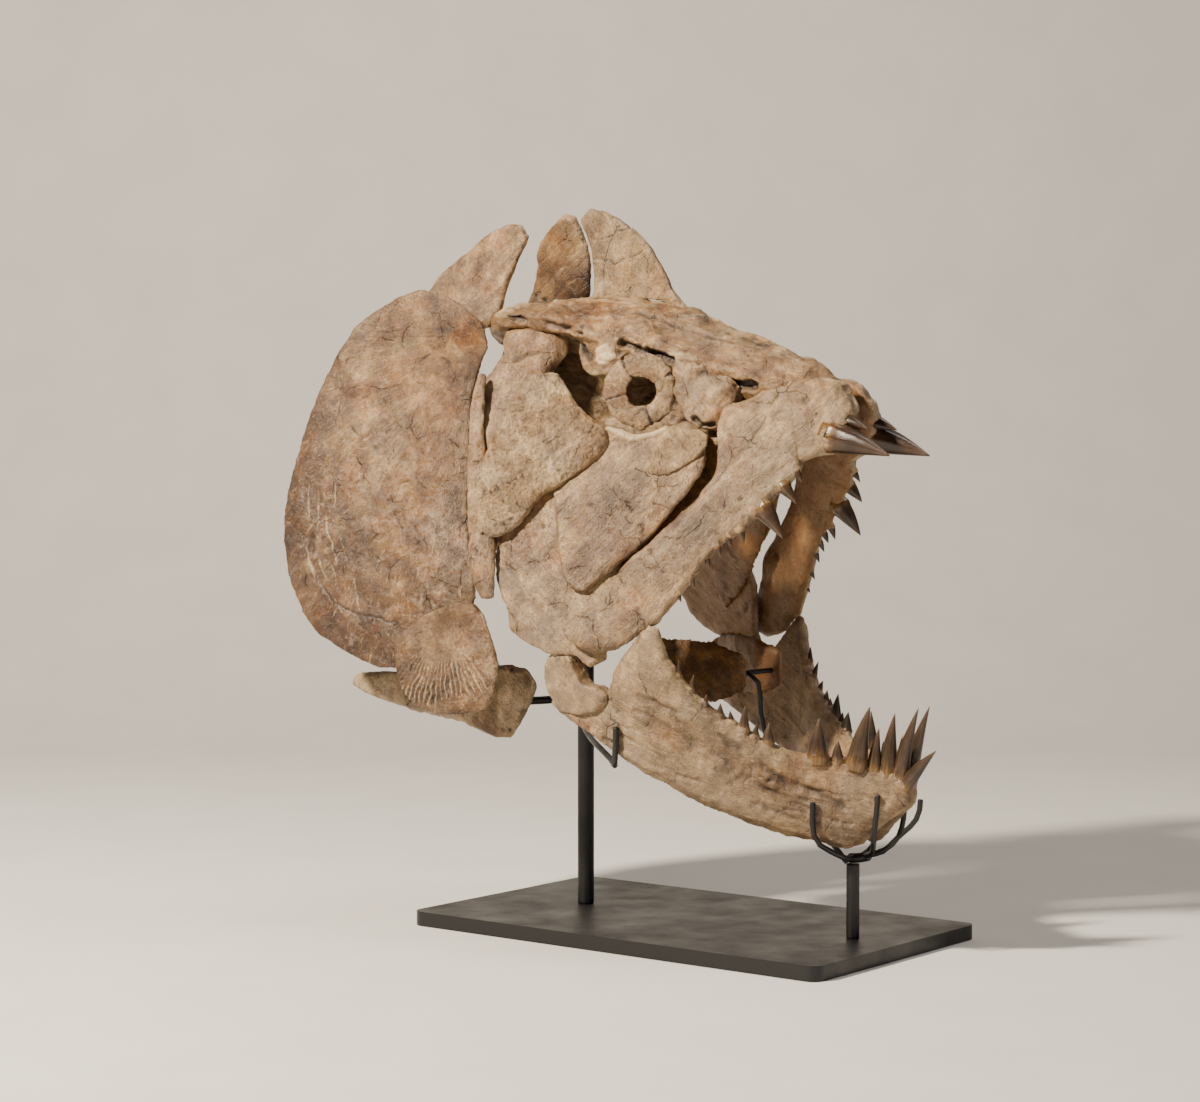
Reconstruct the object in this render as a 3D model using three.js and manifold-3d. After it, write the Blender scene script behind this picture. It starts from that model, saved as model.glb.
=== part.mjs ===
// Fossil skull of a large predatory fish of the Cretaceous seas, mouth agape, on a plain steel stand.
// Millimetres, +Z up, +X towards the snout, +Y the animal's left. The origin is the centre of the
// underside of the stand's base. The bones are drawn in the head's own frame, whose height above
// the floor is headLift; half-widths are measured from the middle plane of the head.
import * as THREE from 'three';
import { mergeVertices } from 'three/addons/utils/BufferGeometryUtils.js';
import Module from 'manifold-3d';

const wasm = await Module();
wasm.setup();

// Driving dimensions of the stand
const baseLength = 480;
const baseWidth = 280;
const baseThickness = 14;
const baseCentreX = 112;
const headLift = 370;
const postRadius = 8;
const wireRadius = 2.6;
const gap = 0.35;

// Driving dimensions of the head
const cheekFront = { x: 290, halfWidth: 14 };
const cheekFlare = 0.276;
const cheekLean = 0.29;
const cheekLeanLevel = 175;
const jawHingeHalf = 134;
const jawBend = { x: 145, run: 30, slope: 0.545 };
const throatSpread = 32;
const plateThickness = 7;
const crestThickness = 9;

const colours = {
  bone: 0xb0947a,
  paleBone: 0xc2a98c,
  darkBone: 0x8a6f5c,
  steel: 0x1c1c1e,
};

const finish = (colour, roughness, metalness = 0) =>
  new THREE.MeshStandardMaterial({ color: colour, roughness, metalness });

const model = new THREE.Group();
const head = new THREE.Group();
head.position.set(-baseCentreX, 0, headLift);
model.add(head);

// Half-width of the side of the face at a point x, z of the side view
const cheekHalf = (x, z) => {
  const rear = Math.max(0, -50 - x);
  const forward = cheekFront.x - Math.max(x, -50);
  return cheekFront.halfWidth + cheekFlare * forward + cheekLean * (cheekLeanLevel - z) + 0.13 * rear;
};
const gillHalf = (x, z) => 126 + 0.2 * (60 - z) + 0.17 * (-60 - x);
const hornHalf = (x, z) => 44 + 0.18 * (322 - z);
const hyoidArchHalf = (x, z) => cheekHalf(x, z) - 0.12 * Math.max(0, z - 120);

// Solids

function solidOf(positions, triangles) {
  const geometry = new THREE.BufferGeometry();
  geometry.setAttribute('position', new THREE.Float32BufferAttribute(positions, 3));
  geometry.setIndex(triangles);
  return manifoldOf(geometry);
}

function manifoldOf(source) {
  const bare = source.clone();
  bare.deleteAttribute('normal');
  bare.deleteAttribute('uv');
  const geometry = mergeVertices(bare, 1e-4);
  const vertices = geometry.attributes.position.array;
  const triangles = Array.from(geometry.index.array);
  if (signedVolume(vertices, triangles) < 0) triangles.reverse();
  return new wasm.Manifold(
    new wasm.Mesh({
      numProp: 3,
      vertProperties: new Float32Array(vertices),
      triVerts: new Uint32Array(triangles),
    }),
  );
}

function signedVolume(vertices, triangles) {
  const a = new THREE.Vector3();
  const b = new THREE.Vector3();
  const c = new THREE.Vector3();
  let total = 0;
  for (let i = 0; i < triangles.length; i += 3) {
    a.fromArray(vertices, triangles[i] * 3);
    b.fromArray(vertices, triangles[i + 1] * 3);
    c.fromArray(vertices, triangles[i + 2] * 3);
    total += a.dot(b.cross(c)) / 6;
  }
  return total;
}

function geometryOf(solid) {
  const mesh = solid.getMesh();
  const geometry = new THREE.BufferGeometry();
  geometry.setAttribute('position', new THREE.BufferAttribute(new Float32Array(mesh.vertProperties), 3));
  geometry.setIndex(new THREE.BufferAttribute(new Uint32Array(mesh.triVerts), 1));
  return geometry;
}

function largest(solid) {
  const pieces = solid.decompose();
  pieces.sort((a, b) => b.volume() - a.volume());
  return pieces[0];
}

const join = (...solids) => largest(solids.reduce((whole, next) => whole.add(next)));

// A copy whose every face stands proud of the solid's own face by at least the gap
function grown(solid, amount = gap) {
  const geometry = geometryOf(solid);
  const position = geometry.attributes.position;
  const corners = Array.from(geometry.index.array);
  const faceNormals = Array.from({ length: position.count }, () => []);
  const sums = Array.from({ length: position.count }, () => new THREE.Vector3());
  const triangle = new THREE.Triangle();
  for (let i = 0; i < corners.length; i += 3) {
    triangle.setFromAttributeAndIndices(position, corners[i], corners[i + 1], corners[i + 2]);
    const area = triangle.getArea();
    if (area > 1e-6) {
      const normal = triangle.getNormal(new THREE.Vector3());
      corners.slice(i, i + 3).forEach((corner) => {
        faceNormals[corner].push(normal);
        sums[corner].addScaledVector(normal, Math.sqrt(area));
      });
    }
  }
  sums.forEach((sum, i) => {
    sum.normalize();
    const slant = Math.min(1, ...faceNormals[i].map((normal) => normal.dot(sum)));
    const reach = amount / Math.max(0.4, slant);
    position.setXYZ(
      i,
      position.getX(i) + sum.x * reach,
      position.getY(i) + sum.y * reach,
      position.getZ(i) + sum.z * reach,
    );
  });
  return manifoldOf(geometry);
}

const sideSteps = [[1, 0, 0], [-1, 0, 0], [0, 1, 0], [0, -1, 0], [0, 0, 1], [0, 0, -1]];

// The solid less its neighbours and a gap round them, cut wider where a sharp corner needs it
function cutClear(solid, ...others) {
  let rest = solid;
  others.forEach((other) => {
    [1, 1.4, 1.9].some((factor) => {
      rest = rest.subtract(grown(other, factor * gap));
      return rest.minGap(other, 2 * gap) > 0.8 * gap;
    });
    const step = 0.8 * gap;
    sideSteps.forEach((direction) => {
      const neighbour = other.translate(direction.map((part) => part * step));
      if (rest.intersect(neighbour).volume() > 1e-3) rest = rest.subtract(neighbour);
    });
  });
  return largest(rest).simplify(0.02);
}

function mirrored(solid) {
  const geometry = geometryOf(solid);
  geometry.applyMatrix4(new THREE.Matrix4().makeScale(1, -1, 1));
  return manifoldOf(geometry);
}

function place(name, solid, material, parent = head) {
  const mesh = new THREE.Mesh(geometryOf(solid.simplify(0.08)), material);
  mesh.name = name;
  parent.add(mesh);
}

// Shapes

// Rings of points joined by quads and closed by a fan at each end
function skin(rings) {
  const sides = rings[0].length;
  const positions = [];
  const triangles = [];
  rings.forEach((ring) => ring.forEach((point) => positions.push(point.x, point.y, point.z)));
  for (let i = 0; i < rings.length - 1; i += 1) {
    for (let k = 0; k < sides; k += 1) {
      const next = (k + 1) % sides;
      const low = i * sides;
      const high = low + sides;
      triangles.push(low + k, low + next, high + next, low + k, high + next, high + k);
    }
  }
  [0, rings.length - 1].forEach((end) => {
    const middle = new THREE.Vector3();
    rings[end].forEach((point) => middle.addScaledVector(point, 1 / sides));
    const hub = positions.length / 3;
    positions.push(middle.x, middle.y, middle.z);
    for (let k = 0; k < sides; k += 1) {
      const a = end * sides + k;
      const b = end * sides + ((k + 1) % sides);
      triangles.push(...(end === 0 ? [hub, b, a] : [hub, a, b]));
    }
  });
  return solidOf(positions, triangles);
}

const power = (value, exponent) => Math.sign(value) * Math.abs(value) ** exponent;

// A section between two edge points, rounded like a squashed ellipse; out is its thick direction
function lensSection(edgeA, edgeB, out, thickness, sides, squareness) {
  const middle = edgeA.clone().add(edgeB).multiplyScalar(0.5);
  const half = edgeA.clone().sub(edgeB).multiplyScalar(0.5);
  const ring = [];
  for (let k = 0; k < sides; k += 1) {
    const angle = (2 * Math.PI * k) / sides;
    const across = power(Math.cos(angle), 2 / squareness);
    const depth = power(Math.sin(angle), 2 / squareness);
    ring.push(middle.clone().addScaledVector(half, across).addScaledVector(out, (depth * thickness) / 2));
  }
  return ring;
}

const spline = (points) => new THREE.SplineCurve(points.map(([x, z]) => new THREE.Vector2(x, z)));

// A long bone on the right side of the head, between an upper and a lower edge of the side view
function longBone({
  upper,
  lower,
  stations,
  surface,
  outer,
  thickness,
  sides = 10,
  squareness = 3,
}) {
  const upperPoints = spline(upper).getSpacedPoints(stations - 1);
  const lowerPoints = spline(lower).getSpacedPoints(stations - 1);
  const out = new THREE.Vector3(0, -1, 0);
  const rings = upperPoints.map((top, i) => {
    const along = i / (stations - 1);
    const bottom = lowerPoints[i];
    const deep = thickness(along);
    const ends = [top, bottom].map(
      (p) => new THREE.Vector3(p.x, -(surface(p.x, p.y) + outer - deep / 2), p.y),
    );
    return lensSection(ends[0], ends[1], out, deep, sides, squareness);
  });
  return skin(rings);
}

// A flat or slightly domed bone on the right side of the head, from its outline in the side view
function plateBone(plate) {
  const { outline, surface, outer } = plate;
  const { thickness = plateThickness, dome = 0, rim = 0.6, segments = 28 } = plate;
  const curve = new THREE.CatmullRomCurve3(
    outline.map(([x, z]) => new THREE.Vector3(x, 0, z)),
    true,
    'centripetal',
  );
  const edge = curve.getSpacedPoints(segments).slice(0, segments);
  const centre = new THREE.Vector3();
  edge.forEach((point) => centre.addScaledVector(point, 1 / segments));
  const reaches = [0.5, 0.85, 1];
  const faces = [1, -1];
  const positions = [];
  const pointAt = (x, z, reach, face) => {
    const rise = dome * (1 - reach * reach);
    const half = (thickness / 2) * (reach > 0.9 ? rim : 1);
    return [x, -(surface(x, z) + outer - thickness / 2 + rise + face * half), z];
  };
  faces.forEach((face) => {
    positions.push(...pointAt(centre.x, centre.z, 0, face));
    reaches.forEach((reach) => {
      edge.forEach((point) => {
        const p = centre.clone().lerp(point, reach);
        positions.push(...pointAt(p.x, p.z, reach, face));
      });
    });
  });
  const perFace = 1 + reaches.length * segments;
  const triangles = [];
  faces.forEach((face, f) => {
    const start = f * perFace;
    const add = (a, b, c) => triangles.push(...(face > 0 ? [a, b, c] : [a, c, b]));
    for (let k = 0; k < segments; k += 1) {
      const next = (k + 1) % segments;
      add(start, start + 1 + k, start + 1 + next);
      for (let r = 0; r < reaches.length - 1; r += 1) {
        const low = start + 1 + r * segments;
        const high = low + segments;
        add(low + k, high + k, high + next);
        add(low + k, high + next, low + next);
      }
    }
  });
  const outerRim = 1 + (reaches.length - 1) * segments;
  const innerRim = outerRim + perFace;
  for (let k = 0; k < segments; k += 1) {
    const next = (k + 1) % segments;
    triangles.push(outerRim + k, innerRim + k, innerRim + next);
    triangles.push(outerRim + k, innerRim + next, outerRim + next);
  }
  return solidOf(positions, triangles);
}

// A round rod or wire along a smooth route
function rod(route, radius, sides = 8, steps = 24) {
  const curve = new THREE.CatmullRomCurve3(
    route.map(([x, y, z]) => new THREE.Vector3(x, y, z)),
    false,
    'centripetal',
  );
  const section = new THREE.Shape();
  section.absarc(0, 0, radius, 0, 2 * Math.PI, false);
  const shape = new THREE.Shape(section.getSpacedPoints(sides).slice(0, sides));
  return manifoldOf(new THREE.ExtrudeGeometry(shape, { steps, extrudePath: curve, bevelEnabled: false }));
}

// A tooth: a tapering, slightly curved cone whose root runs back into the bone
function tooth({ base, tip, radius, sink = 7, sides = 6, bend = 0.08 }) {
  const from = new THREE.Vector3(...base);
  const to = new THREE.Vector3(...tip);
  const axis = to.clone().sub(from);
  const length = axis.length();
  axis.normalize();
  const side = new THREE.Vector3(0, 1, 0).cross(axis).normalize();
  const other = axis.clone().cross(side);
  const levels = [-sink / length, 0.04, 0.45, 0.8];
  const widths = [0.85, 1, 0.68, 0.34];
  const rings = levels.map((level, i) => {
    const sway = bend * length * Math.sin(Math.PI * Math.max(0, level));
    const middle = from.clone().addScaledVector(axis, level * length).addScaledVector(side, -sway);
    const ring = [];
    for (let k = 0; k < sides; k += 1) {
      const angle = (2 * Math.PI * k) / sides;
      const reach = radius * widths[i];
      ring.push(
        middle
          .clone()
          .addScaledVector(side, Math.cos(angle) * reach)
          .addScaledVector(other, Math.sin(angle) * reach * 0.8),
      );
    }
    return ring;
  });
  const tipRing = rings[0].map((point, k) => {
    const angle = (2 * Math.PI * k) / sides;
    return to
      .clone()
      .addScaledVector(side, Math.cos(angle) * 0.4)
      .addScaledVector(other, Math.sin(angle) * 0.4);
  });
  return skin([...rings, tipRing]);
}

// Skull roof, braincase, the thin wall between the eyes and the snout, as one bone mass.
// Each station gives the middle and edge heights of the roof, its half-width, and the half-width
// and lowest level of what hangs below it.
const skullStations = [
  { x: -98, mid: 243, edge: 228, half: 54, body: 34, low: 112, foot: 20 },
  { x: -80, mid: 247, edge: 231, half: 74, body: 42, low: 96, foot: 26 },
  { x: -66, mid: 250, edge: 234, half: 86, body: 45, low: 90, foot: 26 },
  { x: -34, mid: 252, edge: 235, half: 81, body: 44, low: 82, foot: 24 },
  { x: -5, mid: 253, edge: 231, half: 77, body: 34, low: 82, foot: 18 },
  { x: 25, mid: 253, edge: 223, half: 72, body: 15, low: 82, foot: 14 },
  { x: 55, mid: 250, edge: 214, half: 66, body: 7, low: 83, foot: 13 },
  { x: 84, mid: 247, edge: 204, half: 62, body: 6, low: 86, foot: 12 },
  { x: 115, mid: 240, edge: 195, half: 57, body: 6, low: 92, foot: 12 },
  { x: 145, mid: 226, edge: 187, half: 52, body: 9, low: 99, foot: 13 },
  { x: 168, mid: 217, edge: 180, half: 48, body: 27, low: 106, foot: 18 },
  { x: 204, mid: 205, edge: 169, half: 42, body: 31, low: 115, foot: 22 },
  { x: 237, mid: 189, edge: 158, half: 37, body: 27, low: 122, foot: 20 },
  { x: 258, mid: 184, edge: 152, half: 31, body: 22, low: 127, foot: 16 },
  { x: 280, mid: 167, edge: 148, half: 22, body: 14, low: 136, foot: 10 },
];
const roofRim = 13;

function neurocranium() {
  const rings = skullStations.map(({ x, mid, edge, half, body, low, foot }) => {
    const side = [
      [half * 0.55, mid - 0.28 * (mid - edge)],
      [half, edge],
      [half - 4, edge - roofRim],
      [body, edge - roofRim - 10],
      [body, low + 24],
      [foot, low + 12],
      [foot, low],
    ];
    const inner = [[-1, low], [-1, mid]];
    return [[0, mid], ...side, [0, low], ...inner].map(([y, z]) => new THREE.Vector3(x, y, z));
  });
  const half = join(skin(rings), mirrored(orbitRoofBlock()));
  return join(half, mirrored(half));
}

// The stout block under the edge of the roof, above and behind the eye
function orbitRoofBlock() {
  return plateBone({
    outline: [[18, 206], [44, 206], [74, 202], [76, 188], [66, 177], [46, 172], [28, 174], [20, 188]],
    surface: () => 62,
    outer: 0,
    thickness: 24,
    rim: 0.8,
    segments: 12,
  });
}

// The tall blade that stands on the middle of the skull roof
function crestBlade() {
  const blade = plateBone({
    outline: [
      [-24, 331], [-17, 340], [-7, 342], [18, 333], [37, 322], [62, 301], [84, 271], [94, 252],
      [106, 239], [128, 226], [110, 214], [50, 224], [-9, 238], [-7, 262], [-7, 285], [-12, 310],
    ],
    surface: () => 0,
    outer: crestThickness / 2,
    thickness: crestThickness,
    segments: 26,
  });
  return blade;
}

function opercle() {
  return plateBone({
    outline: [
      [-151, 261], [-172, 257], [-197, 244], [-223, 225], [-241, 198], [-254, 166], [-267, 116],
      [-276, 62], [-276, 20], [-260, -28], [-230, -72], [-207, -88], [-176, -101], [-146, -113],
      [-112, -112], [-66, -100], [-46, -62], [-44, -32], [-57, 6], [-64, 38], [-70, 100], [-76, 144],
      [-74, 172], [-66, 192], [-66, 210], [-75, 225], [-92, 239], [-118, 254],
    ],
    surface: gillHalf,
    outer: 0,
    thickness: 7,
    dome: 9,
    segments: 36,
  });
}

function subopercle(cover) {
  const fan = plateBone({
    outline: [
      [-118, -88], [-102, -68], [-78, -54], [-36, -49], [-22, -68], [-11, -88], [-4, -107],
      [-2, -128], [-8, -143], [-26, -151], [-50, -154], [-72, -151], [-92, -143], [-108, -128],
    ],
    surface: gillHalf,
    outer: 9,
    thickness: 8,
    dome: 2,
    segments: 26,
  });
  return cutClear(fan, cover);
}

const hornEdges = {
  right: {
    upper: [[-186, 252], [-170, 276], [-142, 296], [-105, 320], [-82, 327], [-68, 326]],
    lower: [[-150, 226], [-124, 222], [-84, 226], [-76, 262], [-64, 288], [-54, 312]],
  },
  left: {
    upper: [[-142, 248], [-128, 270], [-120, 292], [-120, 308], [-102, 326], [-76, 343]],
    lower: [[-96, 228], [-64, 244], [-54, 268], [-50, 298], [-56, 320], [-66, 338]],
  },
};

function posttemporal(edges) {
  return longBone({
    ...edges,
    stations: 11,
    surface: hornHalf,
    outer: 5,
    thickness: (along) => 13 - 5 * along,
  });
}

function hyomandibula() {
  const shaft = longBone({
    upper: [[-70, 238], [-61, 205], [-62, 184], [-84, 156], [-66, 122], [-54, 76], [-40, 30], [-30, 2]],
    lower: [[4, 214], [6, 198], [-4, 176], [-9, 150], [-14, 118], [-18, 84], [-17, 40], [-14, 8]],
    stations: 13,
    surface: hyoidArchHalf,
    outer: -6,
    thickness: (along) => 24 - 9 * along,
    squareness: 2.6,
  });
  return shaft;
}

function preopercle() {
  return longBone({
    upper: [[-66, 176], [-70, 144], [-64, 108], [-56, 70], [-49, 33], [-41, 3], [-34, -20], [-20, -42]],
    lower: [[-60, 174], [-54, 146], [-50, 118], [-38, 80], [-27, 34], [-15, 8], [-10, -22], [-8, -40]],
    stations: 15,
    surface: cheekHalf,
    outer: 1,
    thickness: () => 8,
    sides: 8,
  });
}

function postorbital() {
  return plateBone({
    outline: [
      [-14, 173], [2, 176], [17, 174], [27, 162], [42, 143], [60, 130], [76, 120], [80, 107],
      [70, 92], [46, 70], [21, 55], [8, 33], [-10, 18], [-26, 18], [-37, 27], [-43, 48],
      [-43, 80], [-36, 108], [-25, 138],
    ],
    surface: cheekHalf,
    outer: 4,
    thickness: 11,
    dome: 2,
    segments: 28,
  });
}

function infraorbital(...neighbours) {
  const plate = plateBone({
    outline: [
      [76, 122], [90, 118], [103, 113], [117, 115], [134, 121], [158, 128], [172, 110], [177, 88],
      [168, 68], [156, 48], [134, 16], [107, -8], [76, -35], [66, -27], [54, -8], [44, 22],
      [38, 60], [52, 78], [74, 98], [80, 108],
    ],
    surface: cheekHalf,
    outer: -1,
    thickness: 7,
    dome: 3,
    segments: 30,
  });
  return cutClear(plate, ...neighbours);
}

function lacrimal(...neighbours) {
  const plate = plateBone({
    outline: [[136, 120], [152, 122], [178, 116], [176, 98], [160, 84], [140, 76], [126, 80], [128, 98]],
    surface: cheekHalf,
    outer: 3.6,
    thickness: 4.2,
    dome: 0.8,
    segments: 18,
  });
  return cutClear(plate, ...neighbours);
}

function lateralEthmoid(...neighbours) {
  const knob = plateBone({
    outline: [
      [128, 194], [158, 190], [188, 174], [197, 150], [189, 127], [171, 119], [153, 125],
      [141, 146], [131, 168],
    ],
    surface: cheekHalf,
    outer: -3,
    thickness: 26,
    dome: 3,
    rim: 0.7,
    segments: 18,
  });
  return cutClear(knob, ...neighbours);
}

// The ring of bone round the eye, its face turned a little forward
const eyeRing = { x: 103, z: 157, halfWidth: 69, outerRadius: 36, innerRadius: 15, thickness: 8, turn: 22 };

function scleroticRing(...neighbours) {
  const { x, z, halfWidth, outerRadius, innerRadius, thickness, turn } = eyeRing;
  const middle = (outerRadius + innerRadius) / 2;
  const reach = (outerRadius - innerRadius) / 2;
  const profile = [];
  for (let k = 0; k < 8; k += 1) {
    const angle = (2 * Math.PI * k) / 8;
    const across = reach * power(Math.cos(angle), 0.7);
    profile.push(new THREE.Vector2(middle + across, (thickness / 2) * power(Math.sin(angle), 0.7)));
  }
  profile.push(profile[0].clone());
  const geometry = new THREE.LatheGeometry(profile, 20);
  geometry.rotateZ(THREE.MathUtils.degToRad(turn));
  geometry.translate(x, -halfWidth, z);
  return cutClear(manifoldOf(geometry), ...neighbours);
}

function quadrate(...neighbours) {
  const plate = plateBone({
    outline: [
      [-17, 20], [-19, 2], [-16, -14], [-9, -34], [3, -52], [8, -66], [24, -80], [45, -89],
      [62, -93], [78, -92], [88, -98], [98, -105], [105, -96], [103, -80], [110, -56], [112, -30],
      [100, 4], [84, 44], [56, 60], [24, 56], [2, 40],
    ],
    surface: cheekHalf,
    outer: -8.5,
    thickness: 12,
    dome: 1,
    rim: 0.8,
    segments: 30,
  });
  return cutClear(plate, ...neighbours);
}

// Inner wall of the mouth, from the quadrate forward to the palate
function pterygoid(...neighbours) {
  const plate = longBone({
    upper: [[30, 66], [70, 86], [110, 100], [150, 112], [184, 124], [206, 128]],
    lower: [[70, -62], [98, -46], [128, -12], [158, 30], [186, 70], [206, 100]],
    stations: 10,
    surface: cheekHalf,
    outer: -19.5,
    thickness: () => 9,
    sides: 8,
  });
  return cutClear(plate, ...neighbours);
}

const upperTeeth = [
  { x: 268, z: 80, lean: [7, -10], radius: 3.2 },
  { x: 259, z: 66, lean: [14, -15], radius: 5 },
  { x: 243, z: 46, lean: [22, -27], radius: 7.5 },
  { x: 225, z: 26, lean: [4, -12], radius: 3.4 },
  { x: 214, z: 19, lean: [4, -9], radius: 3 },
  { x: 206, z: 10, lean: [4, -9], radius: 2.8 },
  { x: 197, z: 0, lean: [4, -10], radius: 2.8 },
  { x: 186, z: -19, lean: [4, -8], radius: 2.4 },
  { x: 176, z: -34, lean: [4, -7], radius: 2.2 },
];

function maxilla(...neighbours) {
  const bone = longBone({
    upper: [
      [256, 166], [240, 167], [224, 155], [206, 147], [190, 144], [184, 128], [190, 110], [196, 94],
      [186, 68], [168, 42], [140, 13], [119, -8], [108, -40], [88, -52], [74, -62],
    ],
    lower: [
      [272, 86], [266, 72], [256, 62], [244, 46], [232, 30], [216, 20], [202, 2], [188, -20],
      [176, -38], [161, -62], [148, -70], [134, -82], [112, -88], [96, -86], [78, -76],
    ],
    stations: 19,
    surface: cheekHalf,
    outer: 8,
    thickness: (along) => 19 - 7 * along,
    sides: 10,
    squareness: 2.7,
  });
  return cutClear(bone, ...neighbours);
}

function withTeeth(bone, teeth) {
  return largest(teeth.reduce((whole, next) => whole.add(next), bone));
}

const toothOnCheek = ({ x, z, lean, radius }) => {
  const y = -(cheekHalf(x, z) + 1);
  return tooth({ base: [x, y, z], tip: [x + lean[0], y - 1, z + lean[1]], radius });
};

function premaxilla(...neighbours) {
  const plate = plateBone({
    outline: [
      [254, 167], [266, 166], [284, 166], [299, 161], [309, 147], [314, 137], [309, 124], [304, 112],
      [296, 103], [284, 96], [274, 88], [268, 110], [260, 140],
    ],
    surface: cheekHalf,
    outer: 8,
    thickness: 20,
    dome: 2,
    rim: 0.6,
    segments: 24,
  });
  return cutClear(plate, ...neighbours);
}

const fangs = [
  { base: [298, -33, 112], tip: [360, -35, 95], radius: 11, sink: 12, sides: 8 },
  { base: [304, -24, 127], tip: [331, -25, 119], radius: 5.6, sink: 8, sides: 6 },
];

// Lower jaw in plan: the halves run side by side from the hinge, then close in a V to the chin
function jawPlan(x, z) {
  const { x: bendX, run, slope } = jawBend;
  const past = x - bendX;
  let half = jawHingeHalf;
  if (past > run) half -= slope * past;
  else if (past > -run) half -= (slope * (past + run) ** 2) / (4 * run);
  return half + 0.08 * (z + 150);
}

const jawStations = [
  { x: 46, top: -137, low: -141, thick: 9 },
  { x: 58, top: -139, low: -150, thick: 14 },
  { x: 80, top: -141, low: -162, thick: 18 },
  { x: 100, top: -137, low: -174, thick: 20 },
  { x: 113, top: -123, low: -183, thick: 20 },
  { x: 121, top: -104, low: -187, thick: 19 },
  { x: 134, top: -87, low: -194, thick: 18 },
  { x: 148, top: -71, low: -203, thick: 17 },
  { x: 158, top: -62, low: -208, thick: 16 },
  { x: 167, top: -65, low: -212, thick: 16 },
  { x: 173, top: -86, low: -215, thick: 17 },
  { x: 183, top: -106, low: -222, thick: 18 },
  { x: 198, top: -128, low: -231, thick: 20 },
  { x: 219, top: -147, low: -240, thick: 21 },
  { x: 245, top: -165, low: -250, thick: 22 },
  { x: 268, top: -177, low: -258, thick: 23 },
  { x: 292, top: -182, low: -263, thick: 24 },
  { x: 312, top: -184, low: -268, thick: 25 },
  { x: 326, top: -188, low: -265, thick: 26 },
  { x: 340, top: -193, low: -248, thick: 25 },
  { x: 354, top: -198, low: -235, thick: 19 },
  { x: 364, top: -205, low: -226, thick: 11 },
];

function outwardAt(x) {
  const step = 0.5;
  const slope = (jawPlan(x + step, -200) - jawPlan(x - step, -200)) / (2 * step);
  return new THREE.Vector3(-slope, -1, 0).normalize();
}

function dentaryBody() {
  const rings = jawStations.map(({ x, top, low, thick }) => {
    const out = outwardAt(x);
    const places = [top, low].map((z) => {
      const onOuter = new THREE.Vector3(x, -jawPlan(x, z), z);
      return onOuter.addScaledVector(out, -thick / 2);
    });
    return lensSection(places[0], places[1], out, thick, 10, 2.8);
  });
  return skin(rings);
}

// Where each lower tooth stands in the side view, how far its tip leans from there, and its radius.
// The left jaw has lost some of the large front ones.
const lowerTeeth = [
  { x: 183, z: -108, lean: [0, 14], radius: 2.6 },
  { x: 192, z: -121, lean: [4, 13], radius: 2.6 },
  { x: 203, z: -134, lean: [3, 8], radius: 2.6 },
  { x: 215, z: -145, lean: [1, 11], radius: 3.2 },
  { x: 224, z: -151, lean: [-1, 10], radius: 3 },
  { x: 234, z: -158, lean: [2, 22], radius: 4.2 },
  { x: 243, z: -164, lean: [2, 11], radius: 3.4 },
  { x: 253, z: -170, lean: [2, 18], radius: 4.6 },
  { x: 293, z: -183, lean: [2, 36], radius: 8 },
  { x: 309, z: -185, lean: [1, 18], radius: 4.6, rightOnly: true },
  { x: 324, z: -188, lean: [15, 53], radius: 8, rightOnly: true },
  { x: 338, z: -193, lean: [6, 38], radius: 5.5, rightOnly: true },
  { x: 349, z: -197, lean: [8, 56], radius: 7, rightOnly: true },
  { x: 358, z: -201, lean: [21, 66], radius: 6.5 },
  { x: 363, z: -207, lean: [33, 34], radius: 6, rightOnly: true },
];

function dentary(teeth, ...neighbours) {
  const bare = cutClear(dentaryBody(), ...neighbours);
  const row = teeth.map(({ x, z, lean, radius }) => {
    const inset = Math.min(8, jawPlan(x, z) - radius - 1.5);
    const base = new THREE.Vector3(x, -jawPlan(x, z), z).addScaledVector(outwardAt(x), -inset);
    const tip = base.clone().add(new THREE.Vector3(lean[0], -1, lean[1]));
    return tooth({ base: base.toArray(), tip: tip.toArray(), radius, sides: radius > 5 ? 8 : 6 });
  });
  const farHalf = new THREE.BoxGeometry(200, 80, 200).translate(360, 40 - gap / 2, -180);
  return largest(withTeeth(bare, row).subtract(manifoldOf(farHalf)));
}

// The hinge bone of the lower jaw, with the hook that rises behind the joint
function articular(...neighbours) {
  const bone = plateBone({
    outline: [
      [44, -128], [42, -108], [46, -98], [55, -91], [66, -89], [74, -94], [79, -106], [85, -118],
      [92, -121], [104, -121], [114, -124], [106, -136], [82, -146], [56, -142],
    ],
    surface: jawPlan,
    outer: 4,
    thickness: 20,
    dome: 1,
    rim: 0.75,
    segments: 26,
  });
  return cutClear(bone, ...neighbours);
}

// A plate of the shoulder girdle that shows below the gill cover
function cleithrum() {
  return longBone({
    upper: [[-232, -128], [-190, -124], [-130, -120], [-70, -112], [-30, -108], [-8, -114], [0, -126]],
    lower: [[-238, -140], [-214, -150], [-160, -160], [-110, -166], [-62, -178], [-34, -184], [-10, -148]],
    stations: 14,
    surface: () => 104,
    outer: 6,
    thickness: () => 14,
  });
}

function ceratohyal() {
  const upper = [[96, -72, -82], [130, -50, -78], [164, -36, -80], [196, -32, -92]];
  const lower = [[98, -72, -126], [132, -50, -136], [166, -36, -140], [196, -32, -128]];
  const out = new THREE.Vector3(-0.4, -0.9, 0);
  const thickness = 9;
  const rings = upper.map((top, i) => {
    const ends = [top, lower[i]].map((point) => new THREE.Vector3(...point));
    return lensSection(...ends, out, thickness, 8, 2.6);
  });
  return skin(rings);
}

// Build the right side, then its mirror image

const roof = neurocranium();
const crest = cutClear(crestBlade(), roof);

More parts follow.
